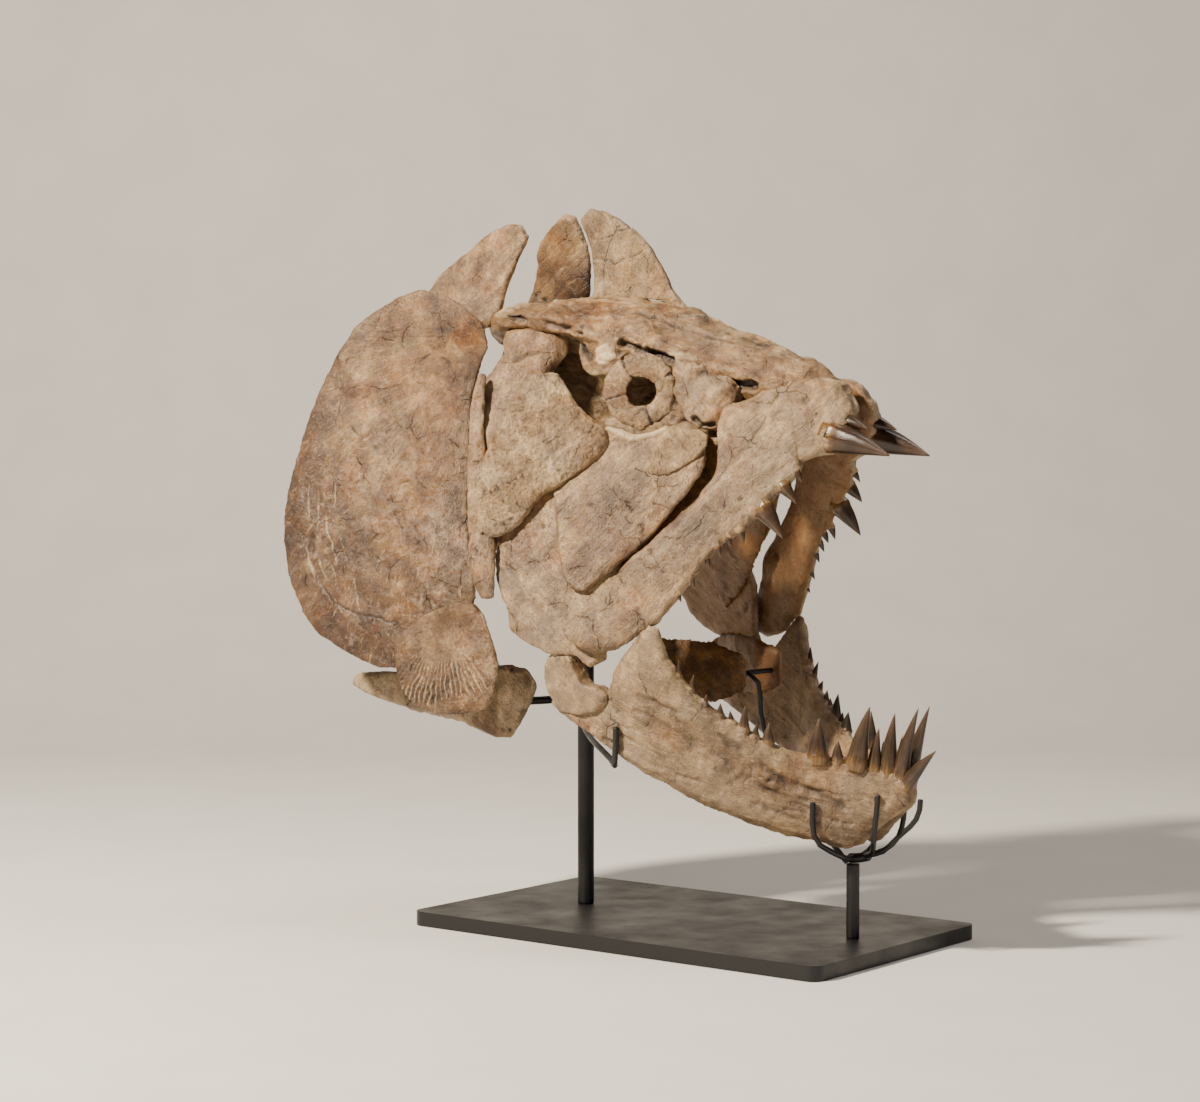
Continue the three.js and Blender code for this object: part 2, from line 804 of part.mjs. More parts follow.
const side = {};
side.hyomandibula = cutClear(hyomandibula(), roof);
side.preopercle = preopercle();
side.postorbital = cutClear(postorbital(), side.preopercle);
side.hyomandibula = cutClear(side.hyomandibula, side.preopercle, side.postorbital);
side.lateral_ethmoid = lateralEthmoid(roof);
side.sclerotic_ring = scleroticRing(side.lateral_ethmoid);
side.infraorbital = infraorbital(side.postorbital, side.sclerotic_ring, side.lateral_ethmoid);
side.lacrimal = lacrimal(side.infraorbital, side.sclerotic_ring, side.lateral_ethmoid);
side.quadrate = quadrate(side.hyomandibula, side.preopercle, side.postorbital, side.infraorbital);
side.premaxilla = premaxilla(roof);
const cheek = [side.lateral_ethmoid, side.infraorbital, side.lacrimal, side.quadrate];
side.maxilla = maxilla(roof, side.premaxilla, ...cheek);
side.pterygoid = pterygoid(side.maxilla, side.postorbital, roof, ...cheek);
side.articular = articular(side.quadrate);
side.dentary = dentary(lowerTeeth, side.articular, side.maxilla);
const leftTeeth = lowerTeeth.filter(({ rightOnly }) => !rightOnly);
const dentaryLeft = mirrored(dentary(leftTeeth, side.articular, side.maxilla));
side.maxilla = withTeeth(side.maxilla, upperTeeth.map(toothOnCheek));
side.premaxilla = withTeeth(side.premaxilla, fangs.map(tooth));
side.ceratohyal = ceratohyal();

const hornRight = cutClear(posttemporal(hornEdges.right), roof);
const hornLeft = cutClear(mirrored(posttemporal(hornEdges.left)), roof);
const cover = cutClear(opercle(), side.hyomandibula, side.preopercle);
const fan = subopercle(cover);
const girdle = cleithrum();

const shades = {
  postorbital: colours.paleBone,
  pterygoid: colours.darkBone,
  ceratohyal: colours.darkBone,
};

place('neurocranium', roof, finish(colours.bone, 0.75));
place('supraoccipital_crest', crest, finish(colours.paleBone, 0.75));
Object.entries(side).forEach(([name, solid]) => {
  const shade = finish(shades[name] ?? colours.bone, 0.75);
  place(`${name}_right`, solid, shade);
  place(`${name}_left`, name === 'dentary' ? dentaryLeft : mirrored(solid), shade.clone());
});
place('posttemporal_right', hornRight, finish(colours.bone, 0.75));
place('posttemporal_left', hornLeft, finish(colours.bone, 0.75));
place('opercle_right', cover, finish(colours.bone, 0.75));
place('subopercle_right', fan, finish(colours.bone, 0.75));
place('cleithrum_right', girdle, finish(colours.paleBone, 0.75));

// Stand: a base plate, two posts, and the bent rods and wires that carry the loose bones

const floorLevel = -headLift;
const baseTop = floorLevel + baseThickness;
const skullPost = { x: -18, top: 81.6, radius: postRadius };
const jawPost = { x: 300, top: -285.6, radius: 6 };

function standBase() {
  const corner = 12;
  const shape = new THREE.Shape();
  const x = baseLength / 2;
  const y = baseWidth / 2;
  shape.moveTo(-x + corner, -y);
  shape.lineTo(x - corner, -y);
  shape.absarc(x - corner, -y + corner, corner, -Math.PI / 2, 0, false);
  shape.absarc(x - corner, y - corner, corner, 0, Math.PI / 2, false);
  shape.absarc(-x + corner, y - corner, corner, Math.PI / 2, Math.PI, false);
  shape.absarc(-x + corner, -y + corner, corner, Math.PI, 1.5 * Math.PI, false);
  const geometry = new THREE.ExtrudeGeometry(shape, {
    depth: baseThickness,
    bevelEnabled: false,
    curveSegments: 4,
  });
  geometry.translate(baseCentreX, 0, floorLevel);
  return manifoldOf(geometry);
}

const post = ({ x, top, radius }) => rod([[x, 0, baseTop + 0.3], [x, 0, top]], radius, 12, 1);
const wire = (route, steps = 9) => rod(route, wireRadius, 6, steps);
const mirrorRoute = (route) => route.map(([x, y, z]) => [x, -y, z]);

// Wires that hook up round the lower edge of the jaw, and the one that takes the chin
const jawHooks = {
  middle: [
    [302, -1, -280], [302, -14, -279], [302, -27, -275], [298, -41, -268],
    [292, -50, -260], [289, -51.5, -246], [289, -51.5, -224],
  ],
  front: [
    [314, -1, -277], [326, -9, -273], [335, -20, -263], [339, -24.5, -248],
    [341, -24.5, -232], [342, -24, -216],
  ],
  chin: [
    [314, 0, -277], [332, 0, -272], [350, 0, -256], [364, 0, -244], [371, 0, -234], [373, 0, -220],
  ],
  bar: [[296, 0, -281], [306, 0, -280], [318, 0, -277]],
};

function jawFork() {
  const { middle, front, chin, bar } = jawHooks;
  const wires = [middle, mirrorRoute(middle), front, mirrorRoute(front), chin].map((route) => wire(route));
  return join(rod(bar, 4.5, 8, 2), ...wires);
}

const jawArmRoute = [
  [-18, -4, -176], [30, -52, -182], [80, -96, -188], [106, -114, -195], [116, -126, -196.5],
  [122, -134, -188], [124, -135, -174], [125, -136, -158],
];
const throatRoute = [
  [300, 0, -292], [262, -8, -246], [222, -16, -190], [209, -20, -150], [207, -20, -122],
  [199, -20, -113], [188, -19, -112], [172, -14, -120], [158, -6, -128],
];

const skullPostSolid = post(skullPost);
const jawPostSolid = post(jawPost);
const fork = jawFork();
const jawArm = rod(jawArmRoute, 3, 6, 13);
const throatBar = rod([[188, -throatSpread, -112], [188, throatSpread, -112]], wireRadius, 6, 1);
const throat = join(wire(throatRoute, 18), throatBar);
const coverArm = rod([[-18, 0, 30], [-70, -54, 34], [-150, -110, 40], [-178, -160, 42]], 4, 8, 12);
const girdleArm = rod([[-18, 0, -148], [-60, -60, -150], [-84, -104, -150]], 4, 8, 8);

const steel = () => finish(colours.steel, 0.45, 0.9);
place('stand_base', standBase(), steel());
place('stand_post_skull', skullPostSolid, steel());
place('stand_post_jaw', jawPostSolid, steel());
const hooks = cutClear(fork, jawPostSolid, side.dentary, dentaryLeft);
const jawArmRight = cutClear(jawArm, skullPostSolid, side.dentary, side.articular);
place('stand_jaw_fork', hooks, steel());
place('stand_jaw_arm_right', jawArmRight, steel());
place('stand_jaw_arm_left', mirrored(jawArmRight), steel());
const throatRod = cutClear(throat, jawPostSolid, hooks, side.ceratohyal, mirrored(side.ceratohyal));
place('stand_throat_rod', throatRod, steel());
place('stand_arm_cover', cutClear(coverArm, skullPostSolid, cover), steel());
place('stand_arm_girdle', cutClear(girdleArm, skullPostSolid, girdle), steel());

export default model;
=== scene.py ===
# Fossil skull of a large predatory fish on a black steel stand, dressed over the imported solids.
# Each bone is its solid remeshed finely, softened, then carved by formulas; the teeth are new.
import math

import bpy
import numpy as np
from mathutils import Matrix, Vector


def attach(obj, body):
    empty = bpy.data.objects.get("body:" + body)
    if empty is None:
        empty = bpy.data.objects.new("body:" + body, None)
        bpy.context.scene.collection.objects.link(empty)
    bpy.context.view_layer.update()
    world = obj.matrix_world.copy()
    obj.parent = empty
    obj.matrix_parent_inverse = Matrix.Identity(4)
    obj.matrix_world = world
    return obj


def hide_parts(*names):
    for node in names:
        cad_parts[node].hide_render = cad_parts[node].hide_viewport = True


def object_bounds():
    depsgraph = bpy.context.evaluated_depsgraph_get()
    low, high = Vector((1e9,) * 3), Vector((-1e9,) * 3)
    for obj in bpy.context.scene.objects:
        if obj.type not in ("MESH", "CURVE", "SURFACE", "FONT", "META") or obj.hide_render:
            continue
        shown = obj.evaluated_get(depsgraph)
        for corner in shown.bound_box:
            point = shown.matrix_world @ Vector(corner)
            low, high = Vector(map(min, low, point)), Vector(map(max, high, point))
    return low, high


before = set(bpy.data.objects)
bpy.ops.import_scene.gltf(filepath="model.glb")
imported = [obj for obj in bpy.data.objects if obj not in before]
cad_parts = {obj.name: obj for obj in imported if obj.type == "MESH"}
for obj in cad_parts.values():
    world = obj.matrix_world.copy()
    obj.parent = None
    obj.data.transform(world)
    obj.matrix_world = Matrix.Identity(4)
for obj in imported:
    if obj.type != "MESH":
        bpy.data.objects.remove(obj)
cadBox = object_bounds()

scene = bpy.context.scene
headOrigin = np.array([-112.0, 0.0, 370.0])  # the head's own frame, in row millimetres
mm = 0.001


def linear(hexColour):
    parts = [int(hexColour[i:i + 2], 16) / 255 for i in (1, 3, 5)]
    return [c / 12.92 if c <= 0.04045 else ((c + 0.055) / 1.055) ** 2.4 for c in parts] + [1.0]


# Camera and light

camera = {"azimuth": 38.0, "elevation": 2.0, "distance": 2.667, "lens": 80.0, "sensor": 36.0}


def setCamera():
    data = bpy.data.cameras.new("camera")
    data.lens = camera["lens"]
    data.sensor_width = camera["sensor"]
    data.clip_end = 50
    ob = bpy.data.objects.new("camera", data)
    scene.collection.objects.link(ob)
    turn, lift = math.radians(camera["azimuth"]), math.radians(camera["elevation"])
    away = Vector((math.sin(turn) * math.cos(lift), -math.cos(turn) * math.cos(lift), math.sin(lift)))
    ob.location = Vector(headOrigin * mm) + away * camera["distance"]
    ob.rotation_euler = away.to_track_quat("Z", "Y").to_euler()
    scene.camera = ob


def areaLight(name, place, aim, size, power, colour):
    data = bpy.data.lights.new(name, "AREA")
    data.shape = "DISK"
    data.size = size
    data.energy = power
    data.color = linear(colour)[:3]
    ob = bpy.data.objects.new(name, data)
    scene.collection.objects.link(ob)
    ob.location = place
    ob.rotation_euler = (Vector(aim) - Vector(place)).to_track_quat("-Z", "Y").to_euler()


def setLights():
    middle = (0.0, 0.0, 0.4)
    areaLight("key", (-0.75, -2.1, 2.1), middle, 0.25, 218, "#fff0da")
    areaLight("fill", (2.6, -0.9, 1.0), middle, 1.6, 5, "#f4f0ff")
    areaLight("top", (0.6, 0.5, 2.6), middle, 0.8, 22, "#fff6ec")
    world = bpy.data.worlds.new("room")
    world.use_nodes = True
    world.node_tree.nodes["Background"].inputs["Color"].default_value = linear("#e9e7e3")
    world.node_tree.nodes["Background"].inputs["Strength"].default_value = 0.1
    scene.world = world


# Materials

def setStops(ends, stops):
    # a colour ramp starts with two stops, which become its first and its last
    for end, (level, colour) in zip(ends, (stops[0], stops[-1])):
        end.position, end.color = level, linear(colour)
    for level, colour in stops[1:-1]:
        ends.new(level).color = linear(colour)


def addNode(tree, kind, values=None):
    # adds a node; a value is a setting of the node, the stops of a ramp, or for a socket a number,
    # a hex colour, or a (node, socket) pair that it is linked to
    node = tree.nodes.new("ShaderNode" + kind)
    for key, value in (values or {}).items():
        if key == "stops":
            setStops(node.color_ramp.elements, value)
        elif isinstance(key, str) and hasattr(node, key):
            setattr(node, key, value)
        elif isinstance(value, tuple) and isinstance(value[0], bpy.types.Node):
            tree.links.new(value[0].outputs[value[1]], node.inputs[key])
        else:
            node.inputs[key].default_value = linear(value) if isinstance(value, str) else value
    return node


def newMaterial(name):
    material = bpy.data.materials.new(name)
    material.use_nodes = True
    tree = material.node_tree
    tree.nodes.clear()
    return material, tree, (addNode(tree, "TexCoord"), "Object")


def finished(material, sockets):
    # the shader and its output, from what its sockets take
    shell = addNode(material.node_tree, "BsdfPrincipled", sockets)
    addNode(material.node_tree, "OutputMaterial", {"Surface": (shell, "BSDF")})
    return material


def perMm(size):
    # scale of a pattern on coordinates in metres whose cells are that many millimetres wide
    return 1000.0 / size


# Mineralised bone: blotched tan, ochre and grey-brown where minerals and glue soaked in, pale worn
# rims and flecks, dark dirt in cracks and pits, painted shade in deep holes, furrows and cast shadows,
# a painted amber glow with shade on faces turned inwards, a fibrous grain, and a faint polish on the high
# parts
boneLooks = {
    "bone": {"deep": "#4a3323", "brown": "#785a3f", "base": "#9b7a56", "light": "#bb9a70",
             "cream": "#dec8a2", "ochre": "#b07c2c", "grey": "#6f5c50", "inner": "#7a4f22",
             "dirtAndShade": "#21170f", "cool": "#9c8688", "gold": "#ad8638", "ash": "#cbb290",
             "umberAndShade": "#a08a78", "rough": 0.39, "bump": 0.8, "vein": 34, "veinShow": 0.2,
             "zoneShow": 0.4},
    "pale_bone": {"deep": "#5c432f", "brown": "#86694c", "base": "#a78860", "light": "#c2a47a",
                  "cream": "#e2cfad", "ochre": "#a8803c", "grey": "#7c6a5a", "inner": "#7d5527",
                  "dirtAndShade": "#2a1e14", "cool": "#a8908c", "gold": "#a98c52", "ash": "#d6c2a4",
                  "umberAndShade": "#b08a62", "rough": 0.5, "bump": 1.0, "vein": 30, "veinShow": 0.15,
                  "zoneShow": 0.28},
    # a darker, more amber copy of the bone for the bones inside the mouth: painted shade with a painted
    # warm glow
    "dark_bone": {"deep": "#2c1a0a", "brown": "#59390f", "base": "#82561e", "light": "#a3762d",
                  "cream": "#c39b52", "ochre": "#98621a", "grey": "#4b3721", "inner": "#6a410f",
                  "dirtAndShade": "#140d07", "cool": "#8f7a70", "gold": "#a87c34", "ash": "#b08c58",
                  "umberAndShade": "#8f6030", "rough": 0.36, "bump": 0.7, "vein": 34, "veinShow": 0.15,
                  "zoneShow": 0.35},
}


def fossilBone(slot, look):
    material, tree, at = newMaterial("fossil_" + slot)
    fibreAt = (addNode(tree, "Attribute", {"attribute_name": "fibre"}), "Vector")

    # coordinates pushed about by some 5 mm, so that no patch has a plain round edge
    sway = addNode(tree, "TexNoise", {"Vector": at, "Scale": perMm(15), "Detail": 3.0})
    swayed = (addNode(tree, "VectorMath", {"operation": "MULTIPLY_ADD", 0: (sway, "Color"),
                                           1: (0.014, 0.014, 0.014), 2: at}), "Vector")

    # each noise: where it is read, its scale, detail, roughness and distortion
    noises = {"zone": (swayed, perMm(85), 4.0, 0.5, 0.0), "tone": (swayed, perMm(21), 9.0, 0.68, 0.0),
              "fleck": (at, perMm(5), 6.0, 0.72, 0.0), "stain": (swayed, perMm(52), 7.0, 0.62, 0.0),
              "fibre": (fibreAt, 1.0, 5.0, 0.66, 0.0),
              "vein": (swayed, perMm(look["vein"]), 1.5, 0.5, 0.8)}
    shown = {}
    for name, values in noises.items():
        sockets = dict(zip(("Vector", "Scale", "Detail", "Roughness", "Distortion"), values))
        shown[name] = (addNode(tree, "TexNoise", sockets), "Fac")

    # each ramp: the noise that it reads, and its stops
    ramps = {"body": ("tone", [(0.27, look["deep"]), (0.39, look["brown"]), (0.5, look["base"]),
                               (0.61, look["light"]), (0.74, look["cream"])]),
             "tinted": ("zone", [(0.34, look["grey"]), (0.5, look["base"]), (0.66, look["light"])]),
             "warm": ("stain", [(0.52, "#000000"), (0.68, "#d0d0d0")]),
             "strands": ("fibre", [(0.3, "#4a4a4a"), (0.5, "#808080"), (0.7, "#bcbcbc")]),
             "mottle": ("tone", [(0.36, "#4c4c4c"), (0.5, "#808080"), (0.64, "#b8b8b8")]),
             "scratch": ("fibre", [(0.6, "#000000"), (0.7, "#8c8c8c")]),
             "light": ("fleck", [(0.58, "#000000"), (0.7, "#747474")]),
             "dark": ("fleck", [(0.33, "#9a9a9a"), (0.42, "#000000")]),
             "veinArea": ("stain", [(0.46, "#000000"), (0.56, "#ffffff")]),
             "hairArea": ("tone", [(0.38, "#ffffff"), (0.5, "#000000")])}
    for name, (source, stops) in ramps.items():
        ramp = addNode(tree, "ValToRGB", {"stops": stops, "Fac": shown[source]})
        shown[name] = (ramp, "Color")

    # each mark kept on the mesh: its attribute, the values where it starts and is full, and how much
    # of it shows there; relief is under 0 in cracks and pits, and where painted shade darkens deep holes,
    # furrows and cast shadows, and over 0 on ridges and worn rims
    marks = {"cool": ("zone", 0.0, -1.0, 0.6), "gold": ("zone", 0.0, 1.0, 0.42),
             "ashen": ("pale", 0.0, 1.0, 0.4), "umberAndShade": ("pale", 0.0, -1.0, 0.85),
             "paintedInnerGlow": ("inner", 0.0, 1.0, 0.62), "dirtAndShadeArea": ("relief", -0.12, -1.0, 0.9),
             "worn": ("relief", 0.08, 0.9, 0.7)}
    for name, (attribute, start, full, most) in marks.items():
        source = addNode(tree, "Attribute", {"attribute_name": attribute})
        values = {0: (source, "Fac"), 1: start, 2: full, 3: 0.0, 4: most}
        shown[name] = (addNode(tree, "MapRange", values), 0)

    # filled hair cracks follow the middle level of a noise, and open ones the edges between cells
    level = addNode(tree, "Math", {"operation": "SUBTRACT", 0: shown["vein"], 1: 0.5})
    level = addNode(tree, "Math", {"operation": "ABSOLUTE", 0: (level, 0)})
    hair = addNode(tree, "TexVoronoi", {"feature": "DISTANCE_TO_EDGE", "Vector": swayed,
                                        "Scale": perMm(41)})
    lines = {"veinLine": ((level, 0), 0.007, "veinArea", look["veinShow"]),
             "hairLine": ((hair, "Distance"), 0.018, "hairArea", 0.75)}
    for name, (distance, width, area, most) in lines.items():
        line = addNode(tree, "MapRange", {0: distance, 1: 0.0, 2: width, 3: most, 4: 0.0})
        shown[name] = (addNode(tree, "Math", {"operation": "MULTIPLY", 0: (line, 0), 1: shown[area]}), 0)

    # layers of colour from the bottom up: how each is blended, how much of it shows, and its colour
    layers = [("MIX", look["zoneShow"], shown["tinted"]), ("SOFT_LIGHT", shown["warm"], look["ochre"]),
              ("MULTIPLY", shown["cool"], look["cool"]), ("OVERLAY", shown["gold"], look["gold"]),
              ("MIX", shown["ashen"], look["ash"]), ("MULTIPLY", shown["umberAndShade"], look["umberAndShade"]),
              ("OVERLAY", 0.42, shown["strands"]), ("OVERLAY", 0.38, shown["mottle"]),
              ("MIX", shown["scratch"], look["cream"]), ("MIX", shown["light"], look["cream"]),
              ("MIX", shown["dark"], look["deep"]), ("MIX", shown["veinLine"], look["cream"]),
              # faces turned inwards take a painted amber glow with shade
              ("MIX", shown["hairLine"], look["dirtAndShade"]), ("MIX", shown["paintedInnerGlow"], look["inner"]),
              # low relief takes the dirt colour: real dirt in cracks and pits, painted shade in holes,
              # furrows and cast shadows
              ("MIX", shown["dirtAndShadeArea"], look["dirtAndShade"]), ("MIX", shown["worn"], look["cream"])]
    body = shown["body"]
    for blend, amount, colour in layers:
        body = (addNode(tree, "Mix", {"data_type": "RGBA", "blend_type": blend, 0: amount,
                                      6: body, 7: colour}), 2)
    fade = addNode(tree, "Attribute", {"attribute_name": "pale"})
    depth = addNode(tree, "MapRange", {0: (fade, "Fac"), 1: -1.0, 2: 1.0, 3: 1.02, 4: 1.0})
    graded = addNode(tree, "HueSaturation", {"Color": body, "Hue": 0.502, "Value": 0.97,
                                             "Saturation": (depth, 0)})

    # a fine skin of flecks, fibres and pores, with the open hair cracks cut in
    pores = addNode(tree, "TexVoronoi", {"Vector": swayed, "Scale": perMm(2.6)})
    poreDepth = addNode(tree, "ValToRGB", {"stops": [(0.06, "#000000"), (0.32, "#ffffff")],
                                           "Fac": (pores, "Distance")})
    height = shown["fleck"]
    for amount, above in ((0.45, shown["fibre"]), (0.25, (poreDepth, "Color")),
                          (shown["hairLine"], "#000000")):
        height = (addNode(tree, "Mix", {"data_type": "RGBA", 0: amount, 6: height, 7: above}), 2)
    bump = addNode(tree, "Bump", {"Strength": look["bump"], "Distance": 0.0034, "Height": height})
    polish = addNode(tree, "MapRange", {0: shown["tone"], 1: 0.35, 2: 0.65, 3: look["rough"] + 0.16,
                                        4: look["rough"] - 0.12})
    return finished(material, {"Base Color": (graded, "Color"), "Roughness": (polish, 0), "IOR": 1.5,
                     "Normal": (bump, "Normal")})


# Fossil tooth enamel: glossy, dark brown with lengthwise streaks, ochre at the root, paler at the tip
toothLook = {"root": "#7f5d2c", "dark": "#2e1c0c", "mid": "#4c3420", "tip": "#665040", "ash": "#b3a083",
             "rough": 0.3}


def fossilEnamel():
    material, tree, at = newMaterial("fossil_enamel")
    along = addNode(tree, "Attribute", {"attribute_name": "along"})
    fade = addNode(tree, "Attribute", {"attribute_name": "pale"})
    grainAt = (addNode(tree, "Attribute", {"attribute_name": "grain"}), "Vector")
    streak = addNode(tree, "TexNoise", {"Vector": grainAt, "Scale": 1.0, "Detail": 4.0, "Roughness": 0.6})
    mottle = addNode(tree, "TexNoise", {"Vector": at, "Scale": perMm(6), "Detail": 5.0})
    shift = addNode(tree, "Math", {"operation": "MULTIPLY_ADD", 0: (mottle, "Fac"), 1: 0.35, 2: -0.17})
    level = addNode(tree, "Math", {"operation": "ADD", 0: (along, "Fac"), 1: (shift, 0)})
    stops = [(0.0, toothLook["root"]), (0.16, toothLook["mid"]), (0.4, toothLook["dark"]),
             (0.8, toothLook["mid"]), (1.0, toothLook["tip"])]
    body = addNode(tree, "ValToRGB", {"stops": stops, "Fac": (level, 0)})
    greys = [(0.3, "#3c3c3c"), (0.5, "#808080"), (0.7, "#c4c4c4")]
    lines = addNode(tree, "ValToRGB", {"stops": greys, "Fac": (streak, "Fac")})
    bleached = addNode(tree, "Mix", {"data_type": "RGBA", 0: (fade, "Fac"), 6: (body, "Color"),
                                     7: toothLook["ash"]})
    streaked = addNode(tree, "Mix", {"data_type": "RGBA", "blend_type": "OVERLAY", 0: 0.7,
                                     6: (bleached, 2), 7: (lines, "Color")})
    bump = addNode(tree, "Bump", {"Strength": 0.5, "Distance": 0.0006, "Height": (streak, "Fac")})
    return finished(material, {"Base Color": (streaked, 2), "Roughness": toothLook["rough"], "IOR": 1.48,
                     "Coat Weight": 0.1, "Coat Roughness": 0.22, "Normal": (bump, "Normal")})


# Powder-coated mild steel: satin black with a fine orange-peel skin and a little dust on it
steelLook = {"paint": "#101012", "dust": "#181717", "rough": 0.42}


def powderCoat():
    material, tree, at = newMaterial("powder_coated_steel")
    peel = addNode(tree, "TexNoise", {"Vector": at, "Scale": perMm(1.1), "Detail": 3.0})
    dust = addNode(tree, "TexNoise", {"Vector": at, "Scale": perMm(38), "Detail": 6.0})
    amount = addNode(tree, "ValToRGB", {"stops": [(0.45, "#000000"), (0.8, "#505050")],
                                        "Fac": (dust, "Fac")})
    colour = addNode(tree, "Mix", {"data_type": "RGBA", 0: (amount, "Color"), 6: steelLook["paint"],
                                   7: steelLook["dust"]})
    rough = addNode(tree, "MapRange", {0: (dust, "Fac"), 1: 0.3, 2: 0.7, 3: steelLook["rough"] - 0.06,
                     4: steelLook["rough"] + 0.14})
    bump = addNode(tree, "Bump", {"Strength": 0.25, "Distance": 0.0003, "Height": (peel, "Fac")})
    return finished(material, {"Base Color": (colour, 2), "Roughness": (rough, 0), "Metallic": 0.0,
                               "IOR": 1.5, "Normal": (bump, "Normal")})


def studioPaper():
    # matt pale paper floor, with the faint mottle of its fibres
    material, tree, at = newMaterial("studio_paper")
    mottle = addNode(tree, "TexNoise", {"Vector": at, "Scale": perMm(120), "Detail": 4.0})
    colour = addNode(tree, "ValToRGB", {"stops": [(0.3, "#d9d7d3"), (0.7, "#dedcd8")],
                                        "Fac": (mottle, "Fac")})
    return finished(material, {"Base Color": (colour, "Color"), "Roughness": 0.9})


# Noise on many points at once

def hashUnit(ix, iy, iz, seed):
    h = ix.astype(np.uint32) * np.uint32(73856093)
    h ^= iy.astype(np.uint32) * np.uint32(19349663)
    h ^= iz.astype(np.uint32) * np.uint32(83492791)
    h ^= np.uint32((seed * 2654435761) % 4294967296)
    h ^= h >> np.uint32(13)
    h *= np.uint32(1274126177)
    h ^= h >> np.uint32(16)
    h *= np.uint32(2246822519)
    h ^= h >> np.uint32(15)
    return h.astype(np.float32) / np.float32(4294967295.0)


def valueNoise(p, seed):
    # smooth noise from -1 to 1 with cells one unit wide
    cell = np.floor(p).astype(np.int64)
    f = (p - cell).astype(np.float32)
    f = f * f * (3 - 2 * f)
    total = np.zeros(len(p), np.float32)
    for dx in (0, 1):
        wx = f[:, 0] if dx else 1 - f[:, 0]
        for dy in (0, 1):
            wy = f[:, 1] if dy else 1 - f[:, 1]
            for dz in (0, 1):
                wz = f[:, 2] if dz else 1 - f[:, 2]
                total += wx * wy * wz * hashUnit(cell[:, 0] + dx, cell[:, 1] + dy, cell[:, 2] + dz, seed)
    return total * 2 - 1


def rough(p, size, octaves, seed, gain=0.5):
    # several layers of noise, the widest that many millimetres across
    total = np.zeros(len(p), np.float32)
    level = 1.0
    for octave in range(octaves):
        total += level * valueNoise(p * (2.0 ** octave / size), seed + octave * 17)
        level *= gain
    return total


def cells(p, size, seed):
    # distance to the nearest and the second nearest of scattered points, in cell widths
    q = p / size
    cell = np.floor(q).astype(np.int64)
    near = np.full(len(p), 9.0, np.float32)
    second = np.full(len(p), 9.0, np.float32)
    for dx in (-1, 0, 1):
        for dy in (-1, 0, 1):
            for dz in (-1, 0, 1):
                cx, cy, cz = cell[:, 0] + dx, cell[:, 1] + dy, cell[:, 2] + dz
                d = (cx + hashUnit(cx, cy, cz, seed) - q[:, 0]) ** 2
                d += (cy + hashUnit(cx, cy, cz, seed + 1) - q[:, 1]) ** 2
                d += (cz + hashUnit(cx, cy, cz, seed + 2) - q[:, 2]) ** 2
                d = np.sqrt(d).astype(np.float32)
                second = np.minimum(second, np.maximum(near, d))
                near = np.minimum(near, d)
    return near, second


def ease(value, low, high):
    t = np.clip((value - low) / (high - low), 0, 1)
    return t * t * (3 - 2 * t)


def lineDistance(x, z, points):
    # distance in the side view to a chain of points
    best = np.full(len(x), 1e6, np.float32)
    for (ax, az), (bx, bz) in zip(points[:-1], points[1:]):
        dx, dz = bx - ax, bz - az
        t = np.clip(((x - ax) * dx + (z - az) * dz) / (dx * dx + dz * dz), 0, 1)
        best = np.minimum(best, np.hypot(x - ax - t * dx, z - az - t * dz))
    return best


